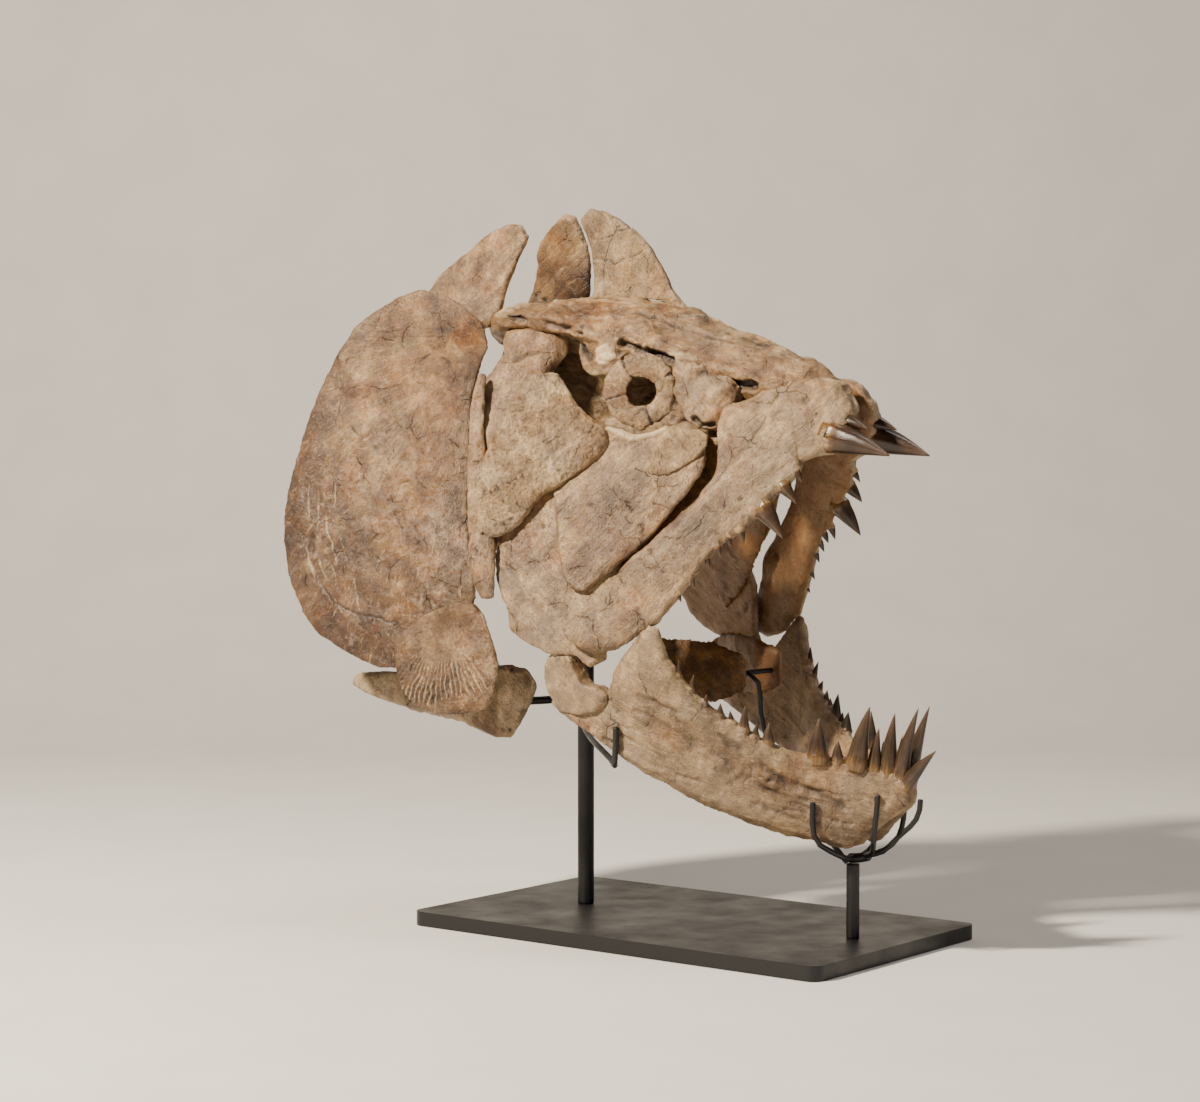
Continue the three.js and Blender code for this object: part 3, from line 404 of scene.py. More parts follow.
class Surface:
    # the points of one bone in head millimetres, y taken from the middle of the head outwards
    def __init__(self, points, normals, side):
        self.p = points
        self.n = normals
        self.side = side
        self.x, self.y, self.z = points[:, 0], points[:, 1] * side, points[:, 2]
        self.out = np.clip(normals[:, 1] * side, 0, 1)  # 1 where the face looks outwards
        self.rim = ease(1 - np.abs(normals[:, 1]), 0.35, 0.85)  # 1 on the narrow edge of a plate
        self.depth = np.zeros(len(points), np.float32)
        self.relief = np.zeros(len(points), np.float32)
        self.zone = np.zeros(len(points), np.float32)  # under 0 more purple, over 0 more golden
        self.pale = np.zeros(len(points), np.float32)  # over 0 bleached and ashy, under 0 umber tone, and painted shadow on the left horn and the girdle
        self.paintedInnerGlow = 1.0  # how much painted amber glow, with shade, the faces turned inwards take
        self.shift = np.zeros((len(points), 3), np.float32)
        self.setFibre(self.x * 0.7 + self.z * 0.7, self.x * 0.7 - self.z * 0.7)
        wander = rough(points, 9, 2, 401) * 1.6
        self.wx = self.x + wander
        self.wz = self.z + rough(points, 9, 2, 433) * 1.6

    def setFibre(self, across, along):
        # where the shader's fine grain lies: fibres 1.6 mm wide and some 20 mm long
        self.fibre = np.stack([across / 1.6, along / 20, self.y / 5], 1)

    def raiseBy(self, amount, relief=0.0):
        # lifts the skin by those millimetres, and marks it for the material, worn where relief rises and
        # dark where it sinks, which is dirt in cracks and pits and painted shade in holes, furrows and cast
        # shadows
        self.depth += amount
        self.relief += relief

    def crackle(self, size, depth, share, seed, width=0.06):
        # a net of fine cracks between plates that many millimetres wide, only in part of the area
        q = self.p + np.stack([rough(self.p, 12, 3, seed + k) for k in (31, 37, 41)], 1) * 3.5
        near, second = cells(q, size, seed)
        line = 1 - ease(second - near, width * 0.3, width * 1.4)
        line = line * ease(valueNoise(self.p / (size * 1.1), seed + 4) * 0.5 + 0.5, 1 - share, 1.15 - share)
        self.raiseBy(-0.6 * depth * line, -0.5 * line)

    def hole(self, points, width, depth, mask):
        # a deep opening along a chain of points, darkened inside as painted shade
        wide = lineDistance(self.wx, self.wz, points) + 0.8 * rough(self.p, 5, 2, 461)
        sunk = (1 - ease(wide, width * 0.45, width)) * mask
        self.raiseBy(-depth * sunk, -1.5 * sunk)

    def crack(self, points, depth, width, mask):
        # a crack that wavers, thins out and closes here and there
        near = 1 - ease(lineDistance(self.wx, self.wz, points), width * 0.25, width * 1.35)
        near = near * mask * ease(valueNoise(self.p / 11, 451), -0.75, 0.15)
        self.raiseBy(-depth * near, -0.95 * near)

    def groove(self, points, depth, width):
        # a soft furrow, darkened a little with painted shade
        near = 1 - ease(lineDistance(self.wx, self.wz, points), 0.0, width)
        near = near * self.out * ease(valueNoise(self.p / 17, 453), -0.6, 0.3)
        self.raiseBy(-depth * near, -0.24 * depth * near)

    def ridge(self, points, height, width, mask=1.0):
        # a rounded, slightly worn ridge along a chain of points
        near = 1 - ease(lineDistance(self.x, self.z, points), 0.0, width)
        self.raiseBy(height * near * mask, 0.18 * near * mask)

    def weather(self, broad, fine, seed, ragged=1.0):
        # worn and lumpy all over, with a broken, paler rim
        self.raiseBy(broad * rough(self.p, 38, 3, seed) + fine * rough(self.p, 7, 3, seed + 5))
        chips = rough(self.p, 13, 3, seed + 9)
        self.raiseBy(1.3 * ragged * chips * self.rim, (0.28 + 0.3 * chips) * self.rim)
        self.pale += 0.42 * rough(self.p, 27, 4, seed + 13, 0.62)

    def tint(self, amount, points, width, soft):
        # a more purple or more golden patch along a chain of points, with a blotchy edge
        near = lineDistance(self.x, self.z, points) + 0.5 * soft * rough(self.p, 30, 3, 471)
        self.zone += amount * (1 - ease(near, width, width + soft))

    def lump(self, x, z, reach, height, mask):
        # a rounded swelling round a point of the side view
        near = np.hypot(self.wx - x, self.wz - z) / reach
        self.raiseBy(height * np.exp(-2 * near * near) * mask)

    def push(self, points, width, x=0.0, out=0.0, z=0.0):
        # moves an edge along a chain of points by those millimetres, to run over or under a neighbour
        near = 1 - ease(lineDistance(self.x, self.z, points), 0.0, width)
        self.shift += np.stack([x * near, out * near * self.side, z * near], 1)

    def pits(self, size, depth, share, seed):
        # round dirty pits in part of the area
        near, _ = cells(self.p, size, seed)
        chance = valueNoise(self.p / (size * 2.6), seed + 9) * 0.5 + 0.5
        hole = (1 - ease(near, 0.12, 0.36)) * ease(chance, 1 - share, 1 - share + 0.15)
        self.raiseBy(-depth * hole, -0.9 * hole)

    def grains(self, size, height, seed, mask=1.0):
        # a skin of beads that many millimetres wide
        near, second = cells(self.p, size, seed)
        bead = ease(second - near, 0.02, 0.45)
        self.raiseBy(height * (bead - 0.5) * mask, 0.25 * (bead - 0.7) * mask)

    def strands(self, across, run, size, height, seed, along, mask=1.0):
        # fibres: noise stretched along run; across is the coordinate over the fibres, both in mm
        self.setFibre(across, run)
        q = np.stack([across / size, run / (size * along), np.zeros_like(run)], 1)
        lines = valueNoise(q, seed) + 0.5 * valueNoise(q * 2.1, seed + 3)
        self.raiseBy(0.6 * height * lines * mask, 0.16 * lines * mask * np.minimum(1, height * 2))

    def polar(self, hub):
        # turn and distance round a point of the side view
        turn = np.arctan2(self.wz - hub[1], self.wx - hub[0])
        return turn, np.hypot(self.x - hub[0], self.z - hub[1])

    def mark(self, marks, mask=None):
        # carves what a bone's dictionary lists, with its values in the order that each method takes
        if "weather" in marks:
            self.weather(*marks["weather"])
        self.pale += marks.get("pale", 0.0)
        for kind in ("push", "tint", "groove", "crackle", "pits"):
            for values in marks.get(kind, ()):
                getattr(self, kind)(*values)
        mask = self.out if mask is None else mask
        for kind in ("lump", "ridge", "crack", "hole"):
            for values in marks.get(kind, ()):
                getattr(self, kind)(*values, mask)


def shifted(points, x, z):
    return [(px + x, pz + z) for px, pz in points]


# Reliefs: each kind of bone has its marks, placed in the side view, and what it alone needs

opercleMarks = {
    "weather": (1.2, 0.5, 11, 0.25),
    "tint": [(-1.0, [(-250, 150), (-266, 60), (-250, -10), (-214, -60), (-160, -92)], 34, 26),
             (-0.7, [(-232, 120), (-200, 20), (-160, -40)], 14, 22),
             (0.9, [(-120, 190), (-112, 120), (-128, 50), (-120, 0)], 16, 22),
             (0.6, [(-190, 225), (-140, 240), (-95, 225)], 10, 18)],
    "crack": [([(-206, 220), (-167, 220), (-132, 221), (-99, 223)], 1.0, 0.8),
              ([(-177, 249), (-176, 234), (-173, 219)], 0.9, 0.8),
              ([(-239, 198), (-229, 174), (-222, 151), (-226, 128)], 1.2, 0.9),
              ([(-214, 136), (-199, 120), (-180, 111), (-161, 105), (-152, 88)], 1.3, 1.1),
              ([(-231, -9), (-219, -31), (-203, -48), (-170, -63), (-122, -68)], 1.3, 1.0),
              ([(-269, 30), (-238, 11), (-220, 31), (-196, 24)], 0.9, 0.8),
              ([(-136, 190), (-126, 197), (-114, 193), (-103, 188), (-98, 176)], 1.6, 1.6),
              ([(-147, 51), (-135, 34), (-124, 17), (-128, 2)], 0.9, 1.1),
              ([(-160, 78), (-140, 66), (-128, 70)], 1.4, 1.3)],
    "crackle": [(34, 0.9, 0.25, 25), (14, 0.5, 0.18, 26)],
    "pits": [(13, 1.0, 0.22, 24)],
    "hub": (-76.0, 214.0),
    "scratchStarts": (0, 13, 25, 34, 47),
}


def opercleRelief(s):
    s.mark(opercleMarks)
    # darker and browner towards the rear and lower edges
    edge = np.maximum(1 - ease(s.x + 0.12 * s.z, -258, -196), 1 - ease(s.z + 0.2 * s.x, -96, 0))
    s.pale -= 0.4 + 0.5 * edge * ease(rough(s.p, 26, 3, 492), -0.9, 0.2)
    # rays and faint growth rings round the upper front corner
    turn, far = s.polar(opercleMarks["hub"])
    q = np.stack([turn * 26, far / 120, np.zeros_like(far)], 1)
    rays = valueNoise(q, 21) + 0.6 * valueNoise(q * 2.3, 22)
    s.setFibre(turn * 150, far)
    s.raiseBy(0.5 * rays * s.out * ease(far, 30, 120), 0.1 * rays * s.out)
    rings = np.sin(far / 7.5 + 1.5 * rough(s.p, 60, 2, 23))
    s.raiseBy(0.15 * rings * s.out * ease(far, 120, 260))
    # lumpy wrinkled patches between smooth ones
    wrinkle = ease(rough(s.p, 46, 2, 490), 0.1, 0.8) * s.out
    folds = rough(s.p, 6.5, 3, 491) * wrinkle
    s.raiseBy(0.9 * folds, 0.3 * folds)
    # pale scratches that curve down the rear half
    for k, bow in enumerate(opercleMarks["scratchStarts"]):
        arc = [(-262 + bow, 70), (-250 + bow, 20), (-226 + bow, -26), (-196 + 0.6 * bow, -60)]
        near = (1 - ease(lineDistance(s.wx, s.wz, arc), 0.3, 1.1)) * s.out
        s.raiseBy(-0.2 * near, 0.5 * near * ease(valueNoise(s.p / 19, 480 + k), -0.3, 0.3))
    # two patches where the outer layer has flaked off
    flaked = 1 - ease(np.hypot(s.wx + 118, (s.wz - 186) * 1.2) + 5 * rough(s.p, 9, 3, 27), 14, 19)
    s.raiseBy(-0.6 * flaked * s.out, 0.04 * flaked * s.out)
    flaked = 1 - ease(np.hypot((s.wx + 150) * 1.3, s.wz - 80) + 9 * rough(s.p, 14, 3, 28), 34, 40)
    s.raiseBy(-0.7 * flaked * s.out, 0.12 * flaked * s.out)


subopercleMarks = {
    "weather": (0.5, 0.35, 31),
    "pale": -0.75,
    "tint": [(-0.5, [(-90, -120), (-50, -130)], 12, 16)],
    "crackle": [(12, 0.4, 0.15, 34)],
    "hub": (-64.0, -60.0),
    "degreesPerRib": 4.3,
}


def subopercleRelief(s):
    s.mark(subopercleMarks)
    s.grains(3.4, 0.5, 36, s.out)
    # a fan of broken ribs in the lower half, and fine rings elsewhere
    turn, far = s.polar(subopercleMarks["hub"])
    s.setFibre(turn * 60, far)
    turn = np.degrees(turn)
    ribs = np.sin(turn * 2 * np.pi / subopercleMarks["degreesPerRib"] + 1.4 * rough(s.p, 16, 2, 33))
    reach = far + 6 * rough(s.p, 10, 2, 32)
    inside = ease(reach, 42, 54) * (1 - ease(reach, 82, 92)) * s.out
    inside = inside * ease(turn, -140, -112) * (1 - ease(turn, -52, -40))
    inside = inside * ease(rough(s.p, 24, 2, 35), -1.1, -0.1)
    s.raiseBy(1.0 * ribs * inside, 0.5 * ribs * inside)
    s.raiseBy(0.25 * np.sin(far / 3.4) * s.out * (1 - inside))


postorbitalMarks = {
    "weather": (1.0, 0.6, 41),
    "pale": 0.15,
    "tint": [(0.5, [(20, 130), (60, 110)], 10, 20)],
    "crackle": [(14, 0.9, 0.22, 46, 0.08)],
    "pits": [(11, 1.4, 0.3, 44)],
}


def postorbitalRelief(s):
    # granular all over, with coarser beads in patches
    s.mark(postorbitalMarks)
    patch = ease(rough(s.p, 34, 2, 47), -0.7, 0.5)
    s.grains(7, 0.9, 42, s.out * patch)
    s.grains(3.6, 1.2, 43, s.out)
    s.raiseBy(0.7 * rough(s.p, 10, 3, 48) * s.out, 0.32 * rough(s.p, 4.2, 2, 49) * s.out)
    s.strands(s.wx * 0.8 + s.wz * 0.3, s.wz, 3.4, 0.4, 45, 5, s.out)


infraorbitalMarks = {
    "weather": (0.9, 0.4, 51),
    "push": [([(80, 110), (74, 98), (52, 78), (38, 60)], 14, -7, -3, 3)],
    "tint": [(-0.9, [(110, 60), (96, 20), (84, -10)], 12, 14), (0.6, [(70, 60), (60, 10)], 6, 10)],
    "lump": [(150, 108, 22, 2.4)],
    "ridge": [([(41, 56), (57, -7), (61, -18), (78, -34)], 1.4, 5)],
    "crackle": [(26, 0.5, 0.18, 54)],
    "pits": [(14, 0.9, 0.2, 53)],
    "eyeBorder": [(76, 120), (90, 116), (104, 111), (118, 114), (134, 120)],
}


def infraorbitalRelief(s):
    s.mark(infraorbitalMarks)
    # a raised pale border under the eye
    border = infraorbitalMarks["eyeBorder"]
    s.ridge(border, 2.6, 4.5)
    s.raiseBy(0, 0.5 * (1 - ease(lineDistance(s.x, s.z, border), 1, 4)))
    s.strands(s.wx * 0.78 - s.wz * 0.62, s.wx * 0.62 + s.wz * 0.78, 3.0, 0.65, 52, 12, s.out)


maxillaMarks = {
    "weather": (1.6, 0.6, 61),
    "pale": 0.25,
    "tint": [(-0.8, [(150, 0), (188, 60), (214, 96)], 16, 16),
             (0.5, [(232, 140), (256, 156), (284, 150)], 12, 14),
             (-0.5, [(270, 120), (262, 100)], 12, 12)],
    "ridge": [([(152, -2), (186, 49), (233, 110)], 1.8, 10)],
    "lump": [(264, 133, 21, 5.5), (236, 152, 15, 3), (290, 146, 13, 3), (212, 132, 13, 2.4)],
    "crack": [([(188, 60), (206, 84), (226, 112), (236, 132)], 1.0, 1.4)],
    "crackle": [(26, 0.5, 0.2, 64)],
    "pits": [(19, 2.2, 0.25, 67), (10, 1.2, 0.25, 63)],
}


def maxillaRelief(s):
    # fibrous along its length, and swollen, lumpy and paler towards the snout
    s.mark(maxillaMarks)
    s.pale += 0.5 * ease(s.x, 200, 250)
    bulge = rough(s.p, 17, 3, 66) * ease(s.x, 200, 236)
    s.raiseBy(1.6 * bulge, 0.12 * bulge)
    s.strands(s.wz * 0.69 - s.wx * 0.72, s.wx * 0.69 + s.wz * 0.72, 3.4, 0.3, 62, 14)


def premaxillaRelief(s):
    # one surface with the maxilla, whose front edge it laps
    s.push([(254, 167), (260, 140), (268, 110), (274, 88)], 11, x=-7)
    maxillaRelief(s)


jawFold = [(150, -128), (197, -152), (235, -179), (262, -203), (312, -226)]
jawLow = [(110, -170), (160, -193), (214, -214), (262, -231), (318, -243)]
dentaryMarks = {
    "weather": (1.2, 0.5, 71),
    "pale": 0.75,
    "tint": [(-0.6, [(120, -172), (200, -206), (300, -236)], 9, 12),
             (0.3, [(300, -196), (340, -214)], 8, 10)],
    "groove": [(jawFold, 3.4, 6.0), (shifted(jawFold, -6, -15), 2.2, 4.5),
               (shifted(jawFold, -10, -29), 1.8, 3.5), (jawLow, 2.3, 3.2),
               (shifted(jawLow, 0, 13), 1.9, 3.2), (shifted(jawLow, 0, 24), 1.8, 3.2),
               ([(300, -204), (330, -218), (352, -224)], 1.6, 3.0)],
    "ridge": [([(60, -146), (120, -178), (180, -208), (240, -236), (310, -254)], 1.6, 9)],
    "crack": [([(98, -126), (101, -124)], 2.6, 1.8)],
    "crackle": [(19, 0.7, 0.25, 74)],
    "pits": [(11, 1.2, 0.3, 73)],
    "sideCrumble": [(214, -192), (246, -204), (272, -212)],
    "lowerCrumble": [(50, -146), (80, -160), (112, -180)],
}


def dentaryRelief(s):
    s.mark(dentaryMarks)
    s.paintedInnerGlow = 0.4
    s.pale -= 0.5 * (1 - ease(s.x, 60, 130)) * (1 - ease(s.z, -168, -140))
    # a dished, greyer band under the teeth
    drop = -140 - s.z - 0.62 * (s.x - 180)
    below = ease(drop, 0, 12) * (1 - ease(drop, 30, 44)) * s.out
    s.raiseBy(-1.3 * below)
    s.zone -= 0.7 * below
    s.pale -= 0.35 * below
    # two crumbled patches
    crumble = 1 - ease(lineDistance(s.x, s.z, dentaryMarks["sideCrumble"]), 3, 15)
    broken = rough(s.p, 9, 3, 78)
    s.raiseBy(1.5 * broken * crumble * s.out, 0.2 * broken * crumble)
    crumble = 1 - ease(lineDistance(s.x, s.z, dentaryMarks["lowerCrumble"]), 6, 16)
    broken = rough(s.p, 7, 3, 79)
    s.raiseBy(1.8 * broken * crumble * s.out, (0.3 * broken - 0.3) * crumble)
    # long folds along the lower edge, and fibres that follow the jaw's curve
    folds = valueNoise(np.stack([(s.wz + 0.4 * s.wx) / 9, s.x / 90, np.zeros_like(s.x)], 1), 76)
    lower = (1 - ease(s.z + 0.36 * s.x, -150, -122)) * s.out
    s.raiseBy(1.5 * folds * lower, 0.3 * folds * lower)
    axis = s.wz + 0.42 * s.wx - 0.0006 * (s.wx - 220) ** 2
    s.strands(axis, s.wx * 0.92 - s.wz * 0.38, 3.2, 0.6, 72, 22)


roofMarks = {
    "weather": (1.8, 0.8, 81),
    "tint": [(0.7, [(-90, 250), (0, 240), (120, 220), (240, 180)], 26, 30),
             (-0.6, [(170, 215), (250, 190)], 8, 16)],
    "crack": [([(-72, 240), (-52, 236), (-30, 226), (-8, 224), (14, 219), (30, 214)], 4.5, 3.4),
              ([(-60, 262), (-36, 256), (-18, 258)], 2.6, 2.4),
              ([(60, 236), (104, 226), (150, 208), (190, 200)], 1.6, 1.6)],
    "hole": [([(76, 204), (93, 196), (111, 192), (128, 186)], 5, 8),
             ([(172, 163), (196, 161), (214, 161)], 6, 8), ([(14, 205), (26, 200), (33, 190)], 5, 6)],
    "crackle": [(19, 1.2, 0.3, 88)],
    "pits": [(12, 1.8, 0.3, 84), (24, 3.2, 0.25, 85)],
    "knobs": [(-78, 262, 16, 5), (-52, 270, 12, 4), (-30, 262, 13, 4), (4, 256, 15, 3.5), (46, 240, 14, 3),
              (112, 214, 16, 3.5), (150, 200, 13, 3), (250, 176, 14, 4), (284, 168, 12, 4),
              (224, 186, 12, 3)],
}


def roofRelief(s):
    s.mark(roofMarks)
    s.strands(s.p[:, 2] * 0.9 + s.y * 0.5 + 8 * rough(s.p, 36, 2, 82), s.x, 6.5, 1.1, 83, 7)
    s.strands(s.p[:, 2] * 0.8 + s.p[:, 1] * 0.6 + 4 * rough(s.p, 20, 2, 89), s.x, 3.2, 0.5, 90, 9)
    # the rear and side rims are knobbly and broken
    rim = ease(s.y, 34, 56) * ease(s.z, 150, 185)
    rear = 1 - ease(s.x, -84, -40)
    knobs = rough(s.p, 17, 3, 86) * np.maximum(rim, rear)
    s.raiseBy(2.6 * knobs, 0.35 * knobs)
    for knob in roofMarks["knobs"]:
        s.lump(*knob, rim)
    s.grains(9, 1.1, 87, 0.6 * ease(s.n[:, 2], 0.2, 0.8))
    # white plaster over the block under the roof's edge
    plaster = 1 - ease(np.hypot((s.wx - 56) * 0.7, s.wz - 195) + 5 * rough(s.p, 9, 3, 470), 6, 12)
    s.raiseBy(1.4 * plaster * s.out, 0.95 * plaster * s.out)


crestMarks = {
    "weather": (0.9, 0.4, 91, 0.5),
    "pale": 0.15,
    "push": [([(-9, 236), (50, 222), (110, 212), (128, 222)], 34, 0, 0, -10),
             ([(96, 236), (110, 232), (128, 222), (122, 214)], 24, 14, 0, -12)],
    "tint": [(-0.5, [(-4, 330), (4, 280), (4, 246)], 10, 12), (0.5, [(40, 300), (70, 262)], 12, 14)],
    "crack": [([(-6, 310), (14, 311), (38, 321)], 1.2, 0.9),
              ([(-6, 291), (11, 289), (21, 285), (32, 288), (48, 292), (62, 299)], 1.3, 0.9),
              ([(11, 289), (8, 268), (14, 246)], 0.8, 0.7)],
    "crackle": [(26, 0.7, 0.3, 93)],
    "hub": (30, 190),
}


def crestRelief(s):
    # faint rays from its foot, which flares out to meet the roof
    s.mark(crestMarks, 1.0)
    s.raiseBy(4.5 * (1 - ease(s.z - 232 + 0.14 * (s.x - 20), 0, 26)) * s.out)
    turn, far = s.polar(crestMarks["hub"])
    rays = valueNoise(np.stack([turn * 24, far / 110, np.zeros_like(turn)], 1), 92)
    s.setFibre(turn * 90, far)
    s.raiseBy(0.4 * rays, 0.15 * rays)


hornMarks = {
    "weather": (0.9, 0.45, 101, 1.2),
    "tint": [(0.6, [(-140, 270), (-90, 310)], 8, 14)],
    "crackle": [(24, 0.6, 0.2, 104)],
    "pits": [(11, 1.1, 0.25, 103)],
}


def hornRelief(s):
    s.mark(hornMarks)
    # the left one shows its inner face; its lower part, where it dips behind the roof, is darkened brown as
    # painted shadow
    s.paintedInnerGlow = 0.1
    dark = (1 - ease(s.z + 6 * rough(s.p, 20, 3, 105), 268, 306)) * (s.side > 0)
    s.pale -= 0.9 * dark
    s.raiseBy(0, -0.5 * dark * ease(rough(s.p, 14, 3, 106), -0.6, 0.4))
    s.strands(s.wx * 0.62 - s.wz * 0.78, s.wx * 0.78 + s.wz * 0.62, 3.4, 0.5, 102, 14)


shaftMarks = {"weather": (1.3, 0.5, 111), "crackle": [(20, 0.8, 0.25, 114)], "pits": [(11, 1.5, 0.3, 113)]}


def shaftRelief(s):
    s.mark(shaftMarks)
    s.strands(s.wx + 0.1 * s.wz, s.wz, 3.4, 0.7, 112, 16)


plainMarks = {"weather": (1.1, 0.5, 121), "crackle": [(22, 0.7, 0.22, 124)], "pits": [(11, 1.3, 0.3, 123)]}


def plainRelief(s):
    s.mark(plainMarks)
    s.strands(s.wx * 0.7 + s.wz * 0.7, s.wx * 0.7 - s.wz * 0.7, 3.6, 0.4, 122, 12)


quadrateMarks = {
    "push": [([(-17, 20), (2, 40), (24, 56), (56, 60), (84, 44)], 16, 0, -2, 9)],
    "tint": [(0.4, [(10, 10), (40, -20)], 14, 18)],
}


def quadrateRelief(s):
    plainRelief(s)
    s.mark(quadrateMarks)
    s.pale += 0.45 * (1 - ease(s.z, -50, 10))
    # fine straight ribs that fan down from the cheek
    ribs = np.sin(np.arctan2(s.wz - 130, s.wx - 60) * 70) * ease(s.z, 0, 20)
    s.raiseBy(0.25 * ribs * s.out, 0.1 * ribs)


hyomandibulaMarks = {
    "lump": [(-30, 222, 22, 6.5), (-8, 206, 13, 4.5), (-50, 208, 12, 4), (-14, 178, 16, 3.5)],
    "crack": [([(-60, 196), (-40, 190), (-16, 196)], 2.2, 2.4)],
    "tint": [(0.6, [(-30, 222), (-20, 190)], 20, 14), (-0.6, [(-32, 140), (-28, 90)], 10, 12)],
}


def hyomandibulaRelief(s):
    # a broad knuckle under the roof, with wings, above a plain shaft
    shaftRelief(s)
    s.mark(hyomandibulaMarks)


articularMarks = {"pale": 0.7, "push": [([(60, -139), (82, -141), (102, -136), (114, -122)], 12, 0, 0, -6)]}


def articularRelief(s):
    plainRelief(s)
    s.mark(articularMarks)


def girdleRelief(s):
    # a pale worn front edge, and behind it a face darkened brown as the painted shadow of the opercle
    plainRelief(s)
    shaded = ease(s.out, 0.5, 0.9) * (1 - ease(s.x, -46, -34)) * ease(s.x, -80, -70)
    s.pale += 0.5 - 1.3 * shaded
    s.raiseBy(0, -0.35 * shaded)


eyeRingMarks = {
    "weather": (1.2, 0.6, 131, 1.2),
    "pale": 0.2,
    "pits": [(8, 1.0, 0.35, 134)],
    "middle": (103, 157),
    "seamAngles": (28, 118, 196, 292),
    "seamRadius": 26,
}


def eyeRingRelief(s):
    s.mark(eyeRingMarks)
    s.raiseBy(1.5 * rough(s.p, 13, 2, 136) * s.rim)
    # open seams between its plates
    midX, midZ = eyeRingMarks["middle"]
    turn = np.degrees(np.arctan2(s.z - midZ, s.x - midX))
    for seam in eyeRingMarks["seamAngles"]:
        off = np.radians(np.abs((turn - seam + 180) % 360 - 180)) * eyeRingMarks["seamRadius"]
        line = 1 - ease(off + 1.2 * rough(s.p, 6, 1, 132), 0.3, 1.6)
        s.raiseBy(-1.5 * line, -1.0 * line)
    s.grains(3.4, 0.4, 133)


ethmoidMarks = {
    "weather": (2.8, 1.0, 141, 1.6),
    "pale": 0.3,
    "push": [([(128, 194), (158, 190), (188, 174), (197, 150)], 20, 2, 0, 8)],
    "lump": [(178, 152, 15, 7), (150, 176, 13, 4), (140, 158, 10, 3), (184, 132, 11, 4)],
    "crack": [([(134, 168), (150, 166), (163, 172), (176, 170)], 3, 3)],
    "hole": [([(160, 130), (168, 124), (176, 124)], 4, 5)],
    "crackle": [(13, 1.0, 0.15, 143)],
    "pits": [(14, 2.4, 0.3, 142)],
}


def ethmoidRelief(s):
    # a knobbly block, worn pale on its biggest knob
    s.mark(ethmoidMarks)
    s.raiseBy(0, 0.4 * (1 - ease(np.hypot(s.wx - 178, s.wz - 152), 3, 13)))
    s.raiseBy(1.8 * rough(s.p, 9, 3, 144) * s.out)


# how finely each bone is remeshed (mm), how far it is softened, how much it swells back, its slot
bonePlan = {
    "neurocranium": (1.8, 11, 0.7, roofRelief, "bone"),
    "supraoccipital_crest": (1.5, 10, 0.5, crestRelief, "pale_bone"),
    "opercle_right": (1.4, 14, 0.2, opercleRelief, "bone"),
    "subopercle_right": (1.2, 8, 0.6, subopercleRelief, "bone"),
    "cleithrum_right": (1.6, 9, 0.6, girdleRelief, "pale_bone"),
    "posttemporal_right": (1.5, 8, 0.7, hornRelief, "bone"),
    "posttemporal_left": (1.5, 8, 0.7, hornRelief, "bone"),
    "hyomandibula": (1.7, 9, 0.7, hyomandibulaRelief, "bone"),
    "preopercle": (1.5, 8, 0.6, shaftRelief, "bone"),
    "postorbital": (1.3, 8, 0.7, postorbitalRelief, "pale_bone"),
    "infraorbital": (1.5, 8, 0.7, infraorbitalRelief, "bone"),
    "lacrimal": (1.2, 6, 0.5, plainRelief, "pale_bone"),
    "lateral_ethmoid": (1.5, 10, 0.8, ethmoidRelief, "bone"),
    "sclerotic_ring": (1.1, 8, 0.6, eyeRingRelief, "bone"),
    "quadrate": (1.6, 8, 0.7, quadrateRelief, "bone"),
    "pterygoid": (1.8, 10, 0.6, plainRelief, "dark_bone"),
    "maxilla": (1.5, 8, 0.8, maxillaRelief, "bone"),
    "premaxilla": (1.4, 10, 0.8, premaxillaRelief, "bone"),
    "articular": (1.4, 10, 0.7, articularRelief, "bone"),
    "dentary": (1.6, 8, 0.8, dentaryRelief, "bone"),
    "ceratohyal": (1.7, 10, 0.6, plainRelief, "dark_bone"),
}
coarser = 1.0
farVoxels = 1.15  # the left bones are seen less, so their voxels are wider by this

# Teeth, in head millimetres: where each stands, its lean, and its radius
upperTeeth = [
    (268, 80, 7, -10, 3.2), (259, 66, 14, -15, 5.0), (243, 46, 22, -27, 7.5), (225, 26, 4, -12, 3.4),
    (214, 19, 4, -9, 3.0), (206, 10, 4, -9, 2.8), (197, 0, 4, -10, 2.8), (186, -19, 4, -8, 2.4),
    (176, -34, 4, -7, 2.2),
]
lowerTeeth = [
    (183, -108, 0, 14, 2.6), (192, -121, 4, 13, 2.6), (203, -134, 3, 8, 2.6), (215, -145, 1, 11, 3.2),
    (224, -151, -1, 10, 3.0), (234, -158, 2, 22, 4.2), (243, -164, 2, 11, 3.4), (253, -170, 2, 18, 4.6),
    (293, -183, 2, 36, 8.0), (309, -185, 1, 18, 4.6), (324, -188, 15, 53, 8.0), (338, -193, 6, 38, 5.5),
    (349, -197, 8, 56, 7.0), (358, -201, 21, 66, 6.5), (363, -207, 33, 34, 6.0),
]
lostOnTheLeft = (309, 324, 338, 349, 363)  # the left jaw has lost these, given by x
fangs = [((298, 33, 112), (360, 35, 95), 11.0), ((304, 24, 127), (331, 25, 119), 5.6)]


def cheekHalf(x, z):
    rear = max(0.0, -50 - x)
    return 14 + 0.276 * (290 - max(x, -50)) + 0.29 * (175 - z) + 0.13 * rear


def jawPlan(x, z):
    bend, run, slope, hinge = 145.0, 30.0, 0.545, 134.0
    past = x - bend
    half = hinge
    if past > run:
        half -= slope * past
    elif past > -run:
        half -= slope * (past + run) ** 2 / (4 * run)
    return half + 0.08 * (z + 150)


